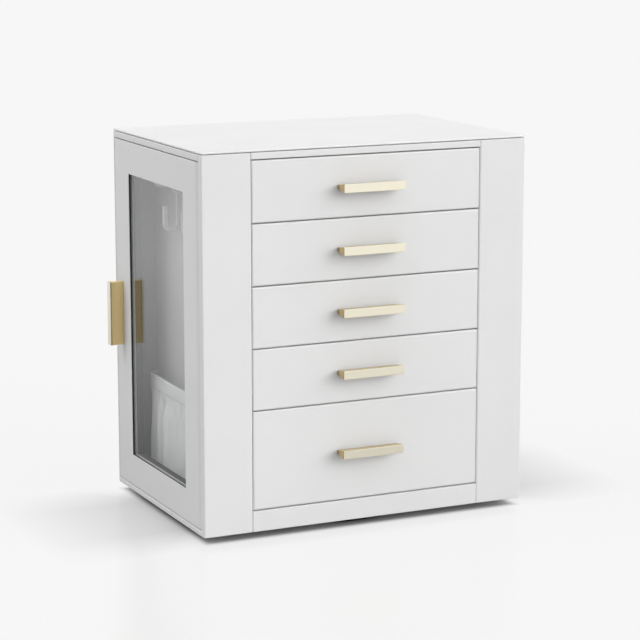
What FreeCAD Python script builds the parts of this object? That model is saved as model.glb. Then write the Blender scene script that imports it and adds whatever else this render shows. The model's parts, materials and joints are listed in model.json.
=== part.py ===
import FreeCAD, Part
import math
import os

# Rotating jewelry organizer: a cabinet of five drawers between two glazed side compartments,
# on a round swivel base. Sizes are in millimetres.
# Frame: +Z up, the drawers face -Y, and the origin is on the swivel axis at the supporting surface.

V = FreeCAD.Vector
X_AXIS = V(1, 0, 0)
Y_AXIS = V(0, 1, 0)
Z_AXIS = V(0, 0, 1)

# Cabinet
cabinet_width = 280.0
cabinet_depth = 190.0
overall_height = 305.0
floor_gap = 6.0
top_panel_thickness = 1.9
seam_height = 0.5
seam_depth = 3.0
top_board_thickness = 5.2
bottom_board_thickness = 4.2
pillar_width = 41.1
pillar_thickness = 6.0
back_thickness = 3.0
divider_thickness = 5.0
apron_height = 16.6
corner_round = 2.0
board_round = 0.7

# Drawers
small_drawer_count = 4
small_drawer_height = 48.8
reveal = 0.9
drawer_side_gap = 0.5
drawer_front_thickness = 8.0
drawer_front_round = 1.4
shelf_thickness = 4.0
shelf_setback = 0.8
tray_wall = 3.5
tray_floor = 3.0
tray_side_clearance = 0.9
tray_running_gap = 0.3
tray_top_clearance = 2.0
tray_back_gap = 6.0

# Velvet inserts
insert_gap = 0.3
insert_floor = 1.5
insert_wall = 3.0
insert_round = 1.0
small_insert_drop = 6.0
deep_insert_share = 0.64
ring_roll_radius = 8.0
ring_roll_pitch = 16.8
ring_roll_base = 4.0

# Bar handles
handle_length = 52.8
handle_reach = 12.5
handle_face_width = 7.0
handle_base_width = 3.4
handle_edge_break = 0.45
handle_screw_spacing = 36.0
screw_radius = 1.0
screw_hole_clearance = 0.15
screw_head_radius = 2.4
screw_head_height = 1.4
screw_grip_in_handle = 6.5

# Side doors
door_thickness = 12.0
door_gap = 0.8
door_stile = 30.7
door_rail = 26.0
door_edge_round = 1.0
window_edge_round = 0.4
glass_recess = 1.8
seal_setback = 0.5
seal_width = 1.3
glass_thickness = 2.5
rebate_width = 5.0
glazing_clearance = 0.15
door_handle_from_edge = 13.7

# Door pivots and catch
pin_radius = 1.5
pin_fit = 0.08
pin_reach = 3.2
pin_end_clearance = 0.3
pin_hold = 10.0
pin_collar_radius = 2.8
pin_collar_gap = 0.3
magnet_radius = 3.0
magnet_depth = 2.5
strike_radius = 4.0
strike_thickness = 1.0

# Side compartments
liner_back = 2.0
liner_floor = 2.0
liner_front = 3.0
liner_rear = 9.0
liner_door_clearance = 0.8

# Hook racks
hook_spacing = 20.0
hook_count = 6
hook_width = 4.6
hook_strap = 2.2
hook_reach = 13.5
hook_corner = 5.0
hook_lip_height = 20.0
hook_lip_round = 0.9
upper_hook_drop = 34.5
lower_hook_drop = 68.0
rack_height = 14.0
rack_margin = 4.0
rack_below_ceiling = 5.0

# Gathered pouches
pouch_wall = 1.5
pouch_end_gap = 0.4
pouch_back_gap = 0.3
pouch_end_reach = 4.0
pouch_bulge = 17.0
pouch_height = 90.5
pouch_floor_gap = 0.4

# Swivel
pad_thickness = 1.2
pad_setback = 3.0
base_radius = 83.0
base_thickness = 4.0
base_edge_round = 1.2
race_circle_radius = 40.0
race_ring_width = 14.0
ball_radius = 2.0
ball_count = 12
ball_seat_clearance = 0.05
ball_running_clearance = 0.3
race_half_gap = 1.0
plate_radius = 66.0
plate_thickness = 2.5
plate_overlap = 10.0
plate_screw_count = 4
plate_screw_length = 3.4
rivet_radius = 3.0
rivet_fit = 0.08
rivet_head_radius = 7.0
rivet_head_height = 1.4
rivet_head_clearance = 0.3
rivet_head_recess = 0.3


# Places worked out from the sizes above
half_width = cabinet_width / 2
front_y = -cabinet_depth / 2
back_y = cabinet_depth / 2
body_bottom = floor_gap
body_top = overall_height - top_panel_thickness
pillar_back_y = front_y + pillar_thickness
inner_back_y = back_y - back_thickness
bay_half = half_width - pillar_width
divider_outer = bay_half + divider_thickness
board_top = body_bottom + bottom_board_thickness
ceiling = body_top - top_board_thickness
apron_top = body_bottom + apron_height

opening_bottom = apron_top + reveal / 2
opening_top = ceiling - reveal / 2
drawer_count = small_drawer_count + 1
drawer_lines = [opening_bottom]
for place in range(small_drawer_count, 0, -1):
    drawer_lines.append(opening_top - place * small_drawer_height)
drawer_lines.append(opening_top)

tray_half = bay_half - tray_side_clearance
tray_front_y = front_y + drawer_front_thickness
tray_back_y = inner_back_y - tray_back_gap

door_outer = half_width
door_inner = half_width - door_thickness
door_front_y = pillar_back_y + door_gap
door_rear_y = inner_back_y - door_gap
door_bottom = board_top + door_gap
door_top = ceiling - door_gap
pivot_x = half_width - door_thickness / 2
pivot_y = door_front_y + door_thickness / 2
window_front_y = door_front_y + door_stile
window_rear_y = door_rear_y - door_stile
window_bottom = door_bottom + door_rail
window_top = door_top - door_rail
door_middle_z = (door_bottom + door_top) / 2

liner_mouth = door_inner - liner_door_clearance
liner_wall = divider_outer + liner_back
liner_front_y = pillar_back_y + liner_front
liner_rear_y = inner_back_y - liner_rear
liner_bottom = board_top + liner_floor
liner_top = ceiling - liner_floor
pouch_bottom = liner_bottom + pouch_floor_gap
pouch_top = pouch_bottom + pouch_height

base_top = pad_thickness + base_thickness
ball_height = board_top - race_half_gap
plate_top = board_top + plate_thickness


def block(x0, x1, y0, y1, z0, z1):
    return Part.makeBox(x1 - x0, y1 - y0, z1 - z0, V(x0, y0, z0))


def upright(x, y, z0, z1, radius):
    return Part.makeCylinder(radius, z1 - z0, V(x, y, z0), Z_AXIS)


def along_y(x, z, y0, y1, radius):
    return Part.makeCylinder(radius, y1 - y0, V(x, y0, z), Y_AXIS)


def other_side(shape):
    return shape.mirror(V(0, 0, 0), X_AXIS)


def is_line(edge, axis):
    """True for a straight edge that runs along the axis."""
    if not isinstance(edge.Curve, Part.Line):
        return False
    return abs(edge.tangentAt(edge.FirstParameter).dot(axis)) > 0.999


def edges_where(shape, test):
    return [edge for edge in shape.Edges if test(edge.CenterOfMass, edge)]


def rounded(shape, radius, test):
    """The shape with a fillet on each edge whose middle passes the test."""
    return shape.makeFillet(radius, edges_where(shape, test))


def near(a, b):
    return abs(a - b) < 1e-4


def save(node, *solids):
    os.makedirs("parts", exist_ok=True)
    shape = solids[0] if len(solids) == 1 else Part.makeCompound(list(solids))
    shape.exportStep("parts/%s.step" % node)


# Cabinet

def top_panel():
    """A thin panel whose rim stands a seam's height above the body."""
    rim = block(-half_width, half_width, front_y, back_y, body_top + seam_height, overall_height)
    rim = rounded(rim, corner_round, lambda c, e: is_line(e, Z_AXIS))
    rim = rounded(rim, board_round, lambda c, e: near(c.z, overall_height))
    foot = block(-half_width + seam_depth, half_width - seam_depth,
                 front_y + seam_depth, back_y - seam_depth, body_top, body_top + seam_height)
    return rim.fuse(foot).removeSplitter()


def board(z0, z1):
    """A board between the back panel and the pillars, with rounded side edges."""
    shape = block(-half_width, half_width, pillar_back_y, inner_back_y, z0, z1)
    return rounded(shape, board_round, lambda c, e: near(abs(c.x), half_width) and is_line(e, Y_AXIS))


def pivot_hole(side, z0, z1):
    return upright(side * pivot_x, pivot_y, z0, z1, pin_radius + pin_fit)


def top_board():
    """The upper board, with a tongue that fills the space between the pillars."""
    tongue = block(-bay_half, bay_half, front_y, pillar_back_y, ceiling, body_top)
    shape = board(ceiling, body_top).fuse(tongue).removeSplitter()
    for side in (-1, 1):
        depth = pin_reach + pin_end_clearance
        shape = shape.cut(pivot_hole(side, ceiling, ceiling + depth))
    return shape


def bottom_board():
    shape = board(body_bottom, board_top)
    shape = shape.cut(upright(0, 0, body_bottom, board_top, plate_radius - plate_overlap))
    for side in (-1, 1):
        depth = pin_reach + pin_end_clearance
        shape = shape.cut(pivot_hole(side, board_top - depth, board_top))
    for x, y in plate_screw_places():
        shape = shape.cut(upright(x, y, board_top - plate_screw_length, board_top, screw_radius))
    return shape


def front_apron():
    shape = block(-bay_half, bay_half, front_y, pillar_back_y, body_bottom, apron_top)
    return rounded(shape, board_round, lambda c, e: near(c.y, front_y) and near(c.z, apron_top))


def front_pillar():
    shape = block(-half_width, -bay_half, front_y, pillar_back_y, body_bottom, body_top)
    outer = rounded(
        shape, corner_round,
        lambda c, e: is_line(e, Z_AXIS) and near(c.x, -half_width) and near(c.y, front_y))
    return rounded(
        outer, drawer_front_round,
        lambda c, e: is_line(e, Z_AXIS) and near(c.x, -bay_half) and near(c.y, front_y))


def back_panel():
    shape = block(-half_width, half_width, inner_back_y, back_y, body_bottom, body_top)
    return rounded(
        shape, corner_round,
        lambda c, e: is_line(e, Z_AXIS) and near(c.y, back_y))


def bay_divider():
    return block(-divider_outer, -bay_half, pillar_back_y, inner_back_y, board_top, ceiling)


def shelf(line):
    y0 = tray_front_y + shelf_setback
    return block(-bay_half, bay_half, y0, inner_back_y,
                 line - shelf_thickness / 2, line + shelf_thickness / 2)


def liner():
    """The lined tray of a side compartment, open towards the door."""
    shape = block(-liner_mouth, -divider_outer, pillar_back_y, inner_back_y, board_top, ceiling)
    inside = block(-liner_mouth, -liner_wall, liner_front_y, liner_rear_y, liner_bottom, liner_top)
    shape = shape.cut(inside)
    pocket = Part.makeCylinder(magnet_radius, magnet_depth, magnet_place(), X_AXIS)
    return shape.cut(pocket)


def magnet_place():
    return V(-liner_mouth, inner_back_y - liner_rear / 2, door_middle_z)


def magnet():
    return Part.makeCylinder(magnet_radius, magnet_depth, magnet_place(), X_AXIS)


# Hooks and pouches of the side compartments

def hook_profile(drop):
    """Side view of one hook: stem on the wall, round turn, lip. Drawn in X and Z."""
    top = liner_top - rack_below_ceiling
    low = liner_top - drop
    wall = -liner_wall
    tip = wall - hook_reach
    inner_corner = hook_corner - hook_strap
    turn = math.sqrt(0.5)

    def point(x, z):
        return V(x, 0, z)

    def corner(cx, cz, radius, a, b):
        middle = (a + b) / 2
        ends = []
        for angle in (a, middle, b):
            rad = math.radians(angle)
            ends.append(point(cx + radius * math.cos(rad), cz + radius * math.sin(rad)))
        return Part.Arc(*ends).toShape()

    lip_top = low + hook_lip_height
    right = wall - hook_corner
    left = tip + hook_corner
    base = low + hook_corner
    edges = [
        Part.makeLine(point(wall, top), point(wall, base)),
        corner(right, base, hook_corner, 0, -90),
        Part.makeLine(point(right, low), point(left, low)),
        corner(left, base, hook_corner, -90, -180),
        Part.makeLine(point(tip, base), point(tip, lip_top)),
        Part.makeLine(point(tip, lip_top), point(tip + hook_strap, lip_top)),
        Part.makeLine(point(tip + hook_strap, lip_top), point(tip + hook_strap, base)),
        corner(left, base, inner_corner, -180, -90),
        Part.makeLine(point(left, low + hook_strap), point(right, low + hook_strap)),
        corner(right, base, inner_corner, -90, 0),
        Part.makeLine(point(wall - hook_strap, base), point(wall - hook_strap, top)),
        Part.makeLine(point(wall - hook_strap, top), point(wall, top)),
    ]
    return Part.Face(Part.Wire(edges))


def hook_places():
    """Middle of each hook along Y and its drop: the two levels alternate."""
    places = []
    for index in range(hook_count):
        y = (index - (hook_count - 1) / 2) * hook_spacing
        drop = lower_hook_drop if index % 2 == 0 else upper_hook_drop
        places.append((y, drop))
    return places


def hook_rack():
    top = liner_top - rack_below_ceiling
    half = (hook_count - 1) / 2 * hook_spacing + hook_width / 2 + rack_margin
    rack = block(-liner_wall - hook_strap, -liner_wall, -half, half, top - rack_height, top)
    rack = rounded(rack, rack_margin, lambda c, e: is_line(e, X_AXIS))
    for y, drop in hook_places():
        hook = hook_profile(drop).extrude(V(0, hook_width, 0))
        hook.translate(V(0, y - hook_width / 2, 0))
        lip_top = liner_top - drop + hook_lip_height
        hook = rounded(hook, hook_lip_round,
                       lambda c, e: near(c.z, lip_top) and is_line(e, Y_AXIS))
        rack = rack.fuse(hook)
    return rack.removeSplitter()


def pouch_plan(inset, z):
    """Plan of the pouch: flat against the compartment wall, bulging towards the door."""
    wall = -liner_wall - pouch_back_gap - inset
    y0 = liner_front_y + pouch_end_gap + inset
    y1 = liner_rear_y - pouch_end_gap - inset
    shoulder = -liner_wall - pouch_end_reach
    crown = -liner_wall - pouch_bulge + inset
    corners = [V(shoulder, y1, z), V(wall, y1, z), V(wall, y0, z), V(shoulder, y0, z)]
    edges = [Part.Arc(corners[3], V(crown, (y0 + y1) / 2, z), corners[0]).toShape()]
    for start, end in zip(corners[:-1], corners[1:]):
        edges.append(Part.makeLine(start, end))
    return Part.Face(Part.Wire(edges))


def pouch():
    outside = pouch_plan(0, pouch_bottom).extrude(V(0, 0, pouch_top - pouch_bottom))
    floor = pouch_bottom + pouch_wall
    inside = pouch_plan(pouch_wall, floor).extrude(V(0, 0, pouch_top - floor))
    return outside.cut(inside)


# Bar handles

def bar_handle():
    """A bar on the plane Y = 0, reaching out to -Y and running along X, with two screw holes."""
    face = handle_face_width / 2
    base = handle_base_width / 2
    chamfer = handle_edge_break
    profile = [
        (0, -base), (-handle_reach + chamfer, -face), (-handle_reach, -face + chamfer),
        (-handle_reach, face - chamfer), (-handle_reach + chamfer, face), (0, base),
    ]
    points = [V(-handle_length / 2, y, z) for y, z in profile]
    shape = Part.Face(Part.makePolygon(points + points[:1])).extrude(V(handle_length, 0, 0))
    ends = edges_where(
        shape, lambda c, e: near(abs(c.x), handle_length / 2) and c.y < -handle_reach + chamfer)
    shape = shape.makeChamfer(chamfer / 2, ends)
    for side in (-1, 1):
        hole = along_y(side * handle_screw_spacing / 2, 0, -screw_grip_in_handle, 0, screw_radius)
        shape = shape.cut(hole)
    return shape


def screw(seat, axis, length):
    """A pan head screw: the head sits on the seat and the shank runs the other way."""
    shank = Part.makeCylinder(screw_radius, length, seat, -axis)
    head = Part.makeCylinder(screw_head_radius, screw_head_height, seat, axis)
    crown = edges_where(head, lambda c, e: e.Closed and (c - seat).dot(axis) > screw_head_height / 2)
    head = head.makeChamfer(screw_head_height / 2, crown)
    return shank.fuse(head).removeSplitter()


def handle_screws(seat_y):
    """Two screws whose heads sit on the plane Y = seat_y and whose shanks end in the bar."""
    length = seat_y + screw_grip_in_handle
    places = [V(side * handle_screw_spacing / 2, seat_y, 0) for side in (-1, 1)]
    return [screw(place, Y_AXIS, length) for place in places]


def screw_holes(y0, y1):
    holes = []
    for side in (-1, 1):
        x = side * handle_screw_spacing / 2
        holes.append(along_y(x, 0, y0, y1, screw_radius + screw_hole_clearance))
    return holes


# Drawers

def drawer_places(index):
    """Lowest and highest Z of a drawer's front and of its tray."""
    low = drawer_lines[index]
    high = drawer_lines[index + 1]
    tray_low = low + shelf_thickness / 2 + tray_running_gap
    if index == drawer_count - 1:
        tray_high = ceiling - tray_top_clearance
    else:
        tray_high = high - shelf_thickness / 2 - tray_top_clearance
    return low + reveal / 2, high - reveal / 2, tray_low, tray_high


def drawer_front(z0, z1):
    half = bay_half - drawer_side_gap
    shape = block(-half, half, front_y, tray_front_y, z0, z1)
    shape = rounded(shape, drawer_front_round, lambda c, e: near(c.y, front_y))
    for hole in screw_holes(front_y, tray_front_y):
        hole.translate(V(0, 0, (z0 + z1) / 2))
        shape = shape.cut(hole)
    return shape


def drawer_tray(z0, z1, handle_z):
    outside = block(-tray_half, tray_half, tray_front_y, tray_back_y, z0, z1)
    outside = rounded(outside, corner_round,
                      lambda c, e: is_line(e, Z_AXIS) and near(c.y, tray_back_y))
    inside = block(-tray_half + tray_wall, tray_half - tray_wall,
                   tray_front_y + tray_wall, tray_back_y - tray_wall, z0 + tray_floor, z1)
    shape = outside.cut(inside)
    for hole in screw_holes(tray_front_y, tray_front_y + tray_wall):
        hole.translate(V(0, 0, handle_z))
        shape = shape.cut(hole)
    return shape


def insert_limits(z0):
    """Room for an insert in a tray that starts at z0: x half, y0, y1, lowest z."""
    half = tray_half - tray_wall - insert_gap
    y0 = tray_front_y + tray_wall + screw_head_height + insert_gap
    y1 = tray_back_y - tray_wall - insert_gap
    return half, y0, y1, z0 + tray_floor


def ring_rolls(z0):
    """Padded rolls side by side, with slits between them that grip rings."""
    half, y0, y1, low = insert_limits(z0)
    shape = block(-half, half, y0, y1, low, low + ring_roll_base)
    count = int((y1 - y0) // ring_roll_pitch)
    pitch = (y1 - y0) / count
    centre = low + ring_roll_base
    for index in range(count):
        y = y0 + (index + 0.5) * pitch
        roll = Part.makeCylinder(ring_roll_radius, 2 * half, V(-half, y, centre), X_AXIS)
        upper = block(-half, half, y0, y1, low, centre + 2 * ring_roll_radius)
        shape = shape.fuse(roll.common(upper))
    return shape.removeSplitter()


def cell_insert(z0, height, columns, rows):
    """A velvet grid of open cells: columns across the drawer, rows from front to back."""
    half, y0, y1, low = insert_limits(z0)
    shape = block(-half, half, y0, y1, low, low + height)
    for x0, x1, ya, yb in cell_places(z0, columns, rows):
        cell = block(x0, x1, ya, yb, low + insert_floor, low + height)
        cell = rounded(cell, insert_round, lambda c, e: is_line(e, Z_AXIS))
        shape = shape.cut(cell)
    return shape


def cell_places(z0, columns, rows):
    half, y0, y1, low = insert_limits(z0)
    cell_x = (2 * half - (columns + 1) * insert_wall) / columns
    cell_y = (y1 - y0 - (rows + 1) * insert_wall) / rows
    places = []
    for column in range(columns):
        x0 = -half + insert_wall + column * (cell_x + insert_wall)
        for row in range(rows):
            ya = y0 + insert_wall + row * (cell_y + insert_wall)
            places.append((x0, x0 + cell_x, ya, ya + cell_y))
    return places


def insert(index, z0, z1):
    """The lowest drawer is deep, with two bays; the others hold cells, and the top one ring rolls."""
    if index == drawer_count - 1:
        return ring_rolls(z0)
    grids = [(2, 1), (3, 1), (2, 2), (3, 2)]
    columns, rows = grids[index % len(grids)]
    room = z1 - z0 - tray_floor
    height = deep_insert_share * room if index == 0 else room - small_insert_drop
    return cell_insert(z0, height, columns, rows)


def save_drawer(index):
    number = drawer_count - index
    front_low, front_high, tray_low, tray_high = drawer_places(index)
    handle_z = (front_low + front_high) / 2
    save("drawer_%d_front" % number, drawer_front(front_low, front_high))
    save("drawer_%d_tray" % number, drawer_tray(tray_low, tray_high, handle_z))
    save("drawer_%d_insert" % number, insert(index, tray_low, tray_high))
    handle = bar_handle()
    handle.translate(V(0, front_y, handle_z))
    save("drawer_%d_handle" % number, handle)
    screws = handle_screws(drawer_front_thickness + tray_wall)
    for solid in screws:
        solid.translate(V(0, front_y, handle_z))
    save("drawer_%d_screws" % number, *screws)


# Side doors, drawn for the left side

def window_block(margin, x0, x1):
    return block(x0, x1, window_front_y - margin, window_rear_y + margin,
                 window_bottom - margin, window_top + margin)


def on_door(shape):
    """Turns what is drawn on the plane Y = 0 so that it stands upright on the door's face."""
    shape.rotate(V(0, 0, 0), Y_AXIS, 90)
    shape.rotate(V(0, 0, 0), Z_AXIS, -90)
    shape.translate(V(-door_outer, door_rear_y - door_handle_from_edge, door_middle_z))
    return shape


def door_frame():
    slab = block(-door_outer, -door_inner, pivot_y, door_rear_y, door_bottom, door_top)
    nose = upright(-pivot_x, pivot_y, door_bottom, door_top, door_thickness / 2)
    shape = slab.fuse(nose).removeSplitter()
    shape = shape.cut(window_block(0, -door_outer, -door_inner))
    shape = rounded(
        shape, window_edge_round,
        lambda c, e: near(c.x, -door_outer) and window_front_y - 1 < c.y < window_rear_y + 1
        and window_bottom - 1 < c.z < window_top + 1)
    shape = rounded(
        shape, door_edge_round,
        lambda c, e: near(c.x, -door_outer) and near(c.y, door_rear_y))
    shape = shape.cut(window_block(rebate_width, -door_outer + glass_recess, -door_inner))
    shape = shape.cut(window_block(seal_width, -door_outer + seal_setback, -door_inner))
    for z0, z1 in ((door_bottom, door_bottom + pin_hold), (door_top - pin_hold, door_top)):
        shape = shape.cut(upright(-pivot_x, pivot_y, z0, z1, pin_radius))
    shape = shape.cut(strike(0))
    for hole in screw_holes(0, door_thickness):
        shape = shape.cut(on_door(hole))
    for recess in screw_recesses():
        shape = shape.cut(on_door(recess))
    return shape


def screw_recesses():
    """Sunk seats for the handle screws' heads in the door's inner face."""
    recesses = []
    for side in (-1, 1):
        x = side * handle_screw_spacing / 2
        radius = screw_head_radius + screw_hole_clearance
        recesses.append(along_y(x, 0, door_thickness - screw_head_height, door_thickness, radius))
    return recesses


def strike(rise):
    """Steel strike plate in the door's inner face, opposite the magnet."""
    centre = magnet_place()
    start = V(-door_inner - strike_thickness, centre.y, centre.z)
    return Part.makeCylinder(strike_radius, strike_thickness + rise, start, X_AXIS)


def seal():
    """A ring in a step of the window's edge, pressed against the pane."""
    x0 = -door_outer + seal_setback
    x1 = -door_outer + glass_recess
    return window_block(seal_width, x0, x1).cut(window_block(0, x0, x1))


def glass():
    x0 = -door_outer + glass_recess
    return window_block(rebate_width - glazing_clearance, x0, x0 + glass_thickness)


def bead():
    x0 = -door_outer + glass_recess + glass_thickness
    outer = window_block(rebate_width - glazing_clearance, x0, -door_inner)
    shape = outer.cut(window_block(0, x0, -door_inner))
    return rounded(
        shape, window_edge_round,
        lambda c, e: near(c.x, -door_inner) and window_front_y - 1 < c.y < window_rear_y + 1
        and window_bottom - 1 < c.z < window_top + 1)


def pivot_pins():
    """Two pins held in the door, each with a collar that carries the door in its gap."""
    collar = door_gap - pin_collar_gap
    low = upright(-pivot_x, pivot_y, door_bottom - door_gap - pin_reach,
                  door_bottom + pin_hold, pin_radius)
    low = low.fuse(upright(-pivot_x, pivot_y, door_bottom - collar, door_bottom, pin_collar_radius))
    high = upright(-pivot_x, pivot_y, door_top - pin_hold,
                   door_top + door_gap + pin_reach, pin_radius)
    high = high.fuse(upright(-pivot_x, pivot_y, door_top, door_top + collar, pin_collar_radius))
    return [low.removeSplitter(), high.removeSplitter()]


def door_screws():
    return [on_door(solid) for solid in handle_screws(door_thickness - screw_head_height)]


def save_door(side, place):
    pieces = {
        "frame": [door_frame()],
        "seal": [seal()],
        "glass": [glass()],
        "bead": [bead()],
        "handle": [on_door(bar_handle())],
        "pivot_pins": pivot_pins(),
        "fittings": door_screws() + [strike(0)],
    }
    for name, solids in pieces.items():
        save("door_%s_%s" % (side, name), *[place(solid) for solid in solids])


# Swivel base

def around(radius, count, start=0.0):
    places = []
    for index in range(count):
        angle = 2 * math.pi * (index + start) / count
        places.append((radius * math.cos(angle), radius * math.sin(angle)))
    return places


def plate_screw_places():
    return around(plate_radius - plate_overlap / 2, plate_screw_count, 0.5)


def race(clearance):
    """The space of an eight-sided groove round the balls' circle."""
    reach = (ball_radius + clearance) / math.cos(math.pi / 8)
    corners = []
    for index in range(8):
        angle = math.pi / 8 + index * math.pi / 4
        x = race_circle_radius + reach * math.cos(angle)
        corners.append(V(x, 0, ball_height + reach * math.sin(angle)))
    section = Part.Face(Part.makePolygon(corners + corners[:1]))
    return section.revolve(V(0, 0, 0), Z_AXIS, 360)


def base_disc():
    disc = upright(0, 0, pad_thickness, base_top, base_radius)
    disc = rounded(disc, base_edge_round, lambda c, e: e.Closed)
    ring_low = race_circle_radius - race_ring_width / 2
    ring_high = race_circle_radius + race_ring_width / 2
    ring_top = ball_height - race_half_gap
    ring = upright(0, 0, base_top, ring_top, ring_high)
    ring = ring.cut(upright(0, 0, base_top, ring_top, ring_low))
    shape = disc.fuse(ring).removeSplitter()
    shape = shape.cut(race(ball_seat_clearance))
    shape = shape.cut(upright(0, 0, pad_thickness, base_top, rivet_radius))
    recess = rivet_head_height + rivet_head_recess
    return shape.cut(upright(0, 0, pad_thickness, pad_thickness + recess, rivet_head_radius))


def base_pad():
    pad = upright(0, 0, 0, pad_thickness, base_radius - pad_setback)
    return pad.makeChamfer(pad_thickness / 3, edges_where(pad, lambda c, e: near(c.z, 0) and e.Closed))


def balls():
    return [Part.makeSphere(ball_radius, V(x, y, ball_height))
            for x, y in around(race_circle_radius, ball_count)]


def bearing_plate():
    plate = upright(0, 0, board_top, plate_top, plate_radius)
    plate = plate.cut(race(ball_running_clearance))
    plate = plate.cut(upright(0, 0, board_top, plate_top, rivet_radius + rivet_fit))
    for x, y in plate_screw_places():
        plate = plate.cut(upright(x, y, board_top, plate_top, screw_radius + screw_hole_clearance))
    return plate


def plate_screws():
    length = plate_thickness + plate_screw_length
    return [screw(V(x, y, plate_top), Z_AXIS, length) for x, y in plate_screw_places()]


def centre_rivet():
    low = pad_thickness + rivet_head_recess
    high = plate_top + rivet_head_clearance
    shank = upright(0, 0, low, high + rivet_head_height, rivet_radius)
    lower_head = upright(0, 0, low, low + rivet_head_height, rivet_head_radius)
    upper_head = upright(0, 0, high, high + rivet_head_height, rivet_head_radius)
    return shank.fuse([lower_head, upper_head]).removeSplitter()


def main():
    save("top_panel", top_panel())
    save("top_board", top_board())
    save("bottom_board", bottom_board())
    save("front_apron", front_apron())
    save("front_pillars", front_pillar(), other_side(front_pillar()))
    save("back_panel", back_panel())
    save("bay_dividers", bay_divider(), other_side(bay_divider()))
    save("drawer_shelves", *[shelf(line) for line in drawer_lines[:-1]])
    save("compartment_liner_left", liner())
    save("compartment_liner_right", other_side(liner()))
    save("hook_rack_left", hook_rack())
    save("hook_rack_right", other_side(hook_rack()))
    save("pouch_left", pouch())
    save("pouch_right", other_side(pouch()))
    save("door_magnets", magnet(), other_side(magnet()))
    save("bearing_plate", bearing_plate())
    save("bearing_screws", *plate_screws())
    save("base_disc", base_disc())
    save("base_pad", base_pad())
    save("bearing_balls", *balls())
    save("centre_rivet", centre_rivet())
    for index in range(drawer_count):
        save_drawer(index)
    save_door("left", lambda shape: shape)
    save_door("right", other_side)


main()
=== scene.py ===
import json
import math

import bmesh
import bpy
from bpy.props import FloatProperty, FloatVectorProperty, IntProperty, PointerProperty
from bpy.types import Operator, Panel, PropertyGroup
from mathutils import Matrix, Vector, noise

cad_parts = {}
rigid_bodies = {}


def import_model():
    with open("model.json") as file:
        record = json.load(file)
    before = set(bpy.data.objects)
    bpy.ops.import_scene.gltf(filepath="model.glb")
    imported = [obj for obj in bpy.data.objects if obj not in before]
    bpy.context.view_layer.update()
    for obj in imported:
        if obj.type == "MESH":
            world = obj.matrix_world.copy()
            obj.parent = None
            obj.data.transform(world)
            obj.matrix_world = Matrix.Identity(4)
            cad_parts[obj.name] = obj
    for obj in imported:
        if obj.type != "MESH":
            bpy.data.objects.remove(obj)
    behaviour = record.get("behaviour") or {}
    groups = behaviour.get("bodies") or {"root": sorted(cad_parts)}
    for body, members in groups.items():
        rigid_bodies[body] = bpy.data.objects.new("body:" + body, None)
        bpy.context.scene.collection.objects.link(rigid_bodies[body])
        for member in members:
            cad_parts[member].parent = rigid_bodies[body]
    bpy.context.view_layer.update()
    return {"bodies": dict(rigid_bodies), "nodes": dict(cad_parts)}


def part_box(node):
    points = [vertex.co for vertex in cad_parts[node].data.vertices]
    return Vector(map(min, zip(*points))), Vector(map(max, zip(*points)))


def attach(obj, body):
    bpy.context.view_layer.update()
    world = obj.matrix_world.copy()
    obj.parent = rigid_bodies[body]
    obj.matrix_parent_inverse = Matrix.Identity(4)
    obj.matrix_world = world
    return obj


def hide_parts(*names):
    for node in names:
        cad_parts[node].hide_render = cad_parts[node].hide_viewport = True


# Dresses the rotating jewelry organizer: wrapped boards, drawers with velvet inside, glazed side
# doors, brass bar handles, moulded hooks, gathered pouches and the ball-bearing swivel.
# All sizes are in metres: +Z up, the drawers face -Y, the origin is on the swivel axis at the floor.

bl_info = {
    "name": "Rotating Jewelry Organizer",
    "version": (1, 0, 0),
    "blender": (4, 5, 0),
    "location": "View3D > Sidebar > Organizer",
    "description": "Dresses the drawers, side doors and swivel base of a jewelry organizer",
    "category": "Add Mesh",
}

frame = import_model()

MM = 0.001
SIDES = ("left", "right")
DRAWERS = sum(1 for name in frame["bodies"] if name.startswith("drawer_"))
CELLS = {2: (3, 2), 3: (2, 2), 4: (3, 1), 5: (2, 1)}    # drawer: cells across, cells front to back

WELD = 2e-6                     # points nearer to each other than this are one point
FLAT = math.radians(0.4)        # neighbouring faces that bend less than this are one face
SHARP = math.radians(40)        # an edge that bends more than this is sharp
CRISP = 35                      # smooth shading stops where faces bend by more degrees than this
WAVES = 20                      # bands that a wave texture draws in one unit at the scale 1
BRUSH_ALONG = 45                # scale of the brush lines along a brass bar
BRUSH_ACROSS = 3600             # and across it
THROWN = 0.4                    # share of its colour that brass throws on what is beside it
# painted shade: an upright bar's sides are painted darker at their foot
UPRIGHT_FOOT_SHADE = 0.85             # how bright an upright bar's sides are at their foot
HEM_STEPS = 160                 # faces along the hem
FLOOR_RADIUS = 14               # wide enough for its rim to be out of the picture

ROLL_SLACK = 0.6 * MM           # how far a ring roll may puff out
ROLL_MESH = 2.5 * MM            # width of the faces of a roll before they are made finer
CLOTH_FRAMES = 20               # length of the run that puffs a roll
CLOTH = {
    "quality": 6,
    "mass": 0.05,
    "tension_stiffness": 8,
    "bending_stiffness": 0.05,
    "use_pressure": True,
    "uniform_pressure_force": 4.0,
    "shrink_min": -0.04,
    "vertex_group_mass": "glued",
}


# Sizes and colours that a user would change


def length(name, description, millimetres):
    return FloatProperty(name=name, description=description, default=millimetres * MM,
                         min=0, unit="LENGTH", precision=5)


def colour(name, description, value):
    return FloatVectorProperty(name=name, description=description, default=value,
                               subtype="COLOR", min=0, max=1)


def share(name, description, value, top=1.0):
    return FloatProperty(name=name, description=description, default=value, min=0, max=top)


def angle(name, description, degrees):
    return FloatProperty(name=name, description=description, default=math.radians(degrees),
                         subtype="ANGLE")


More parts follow.
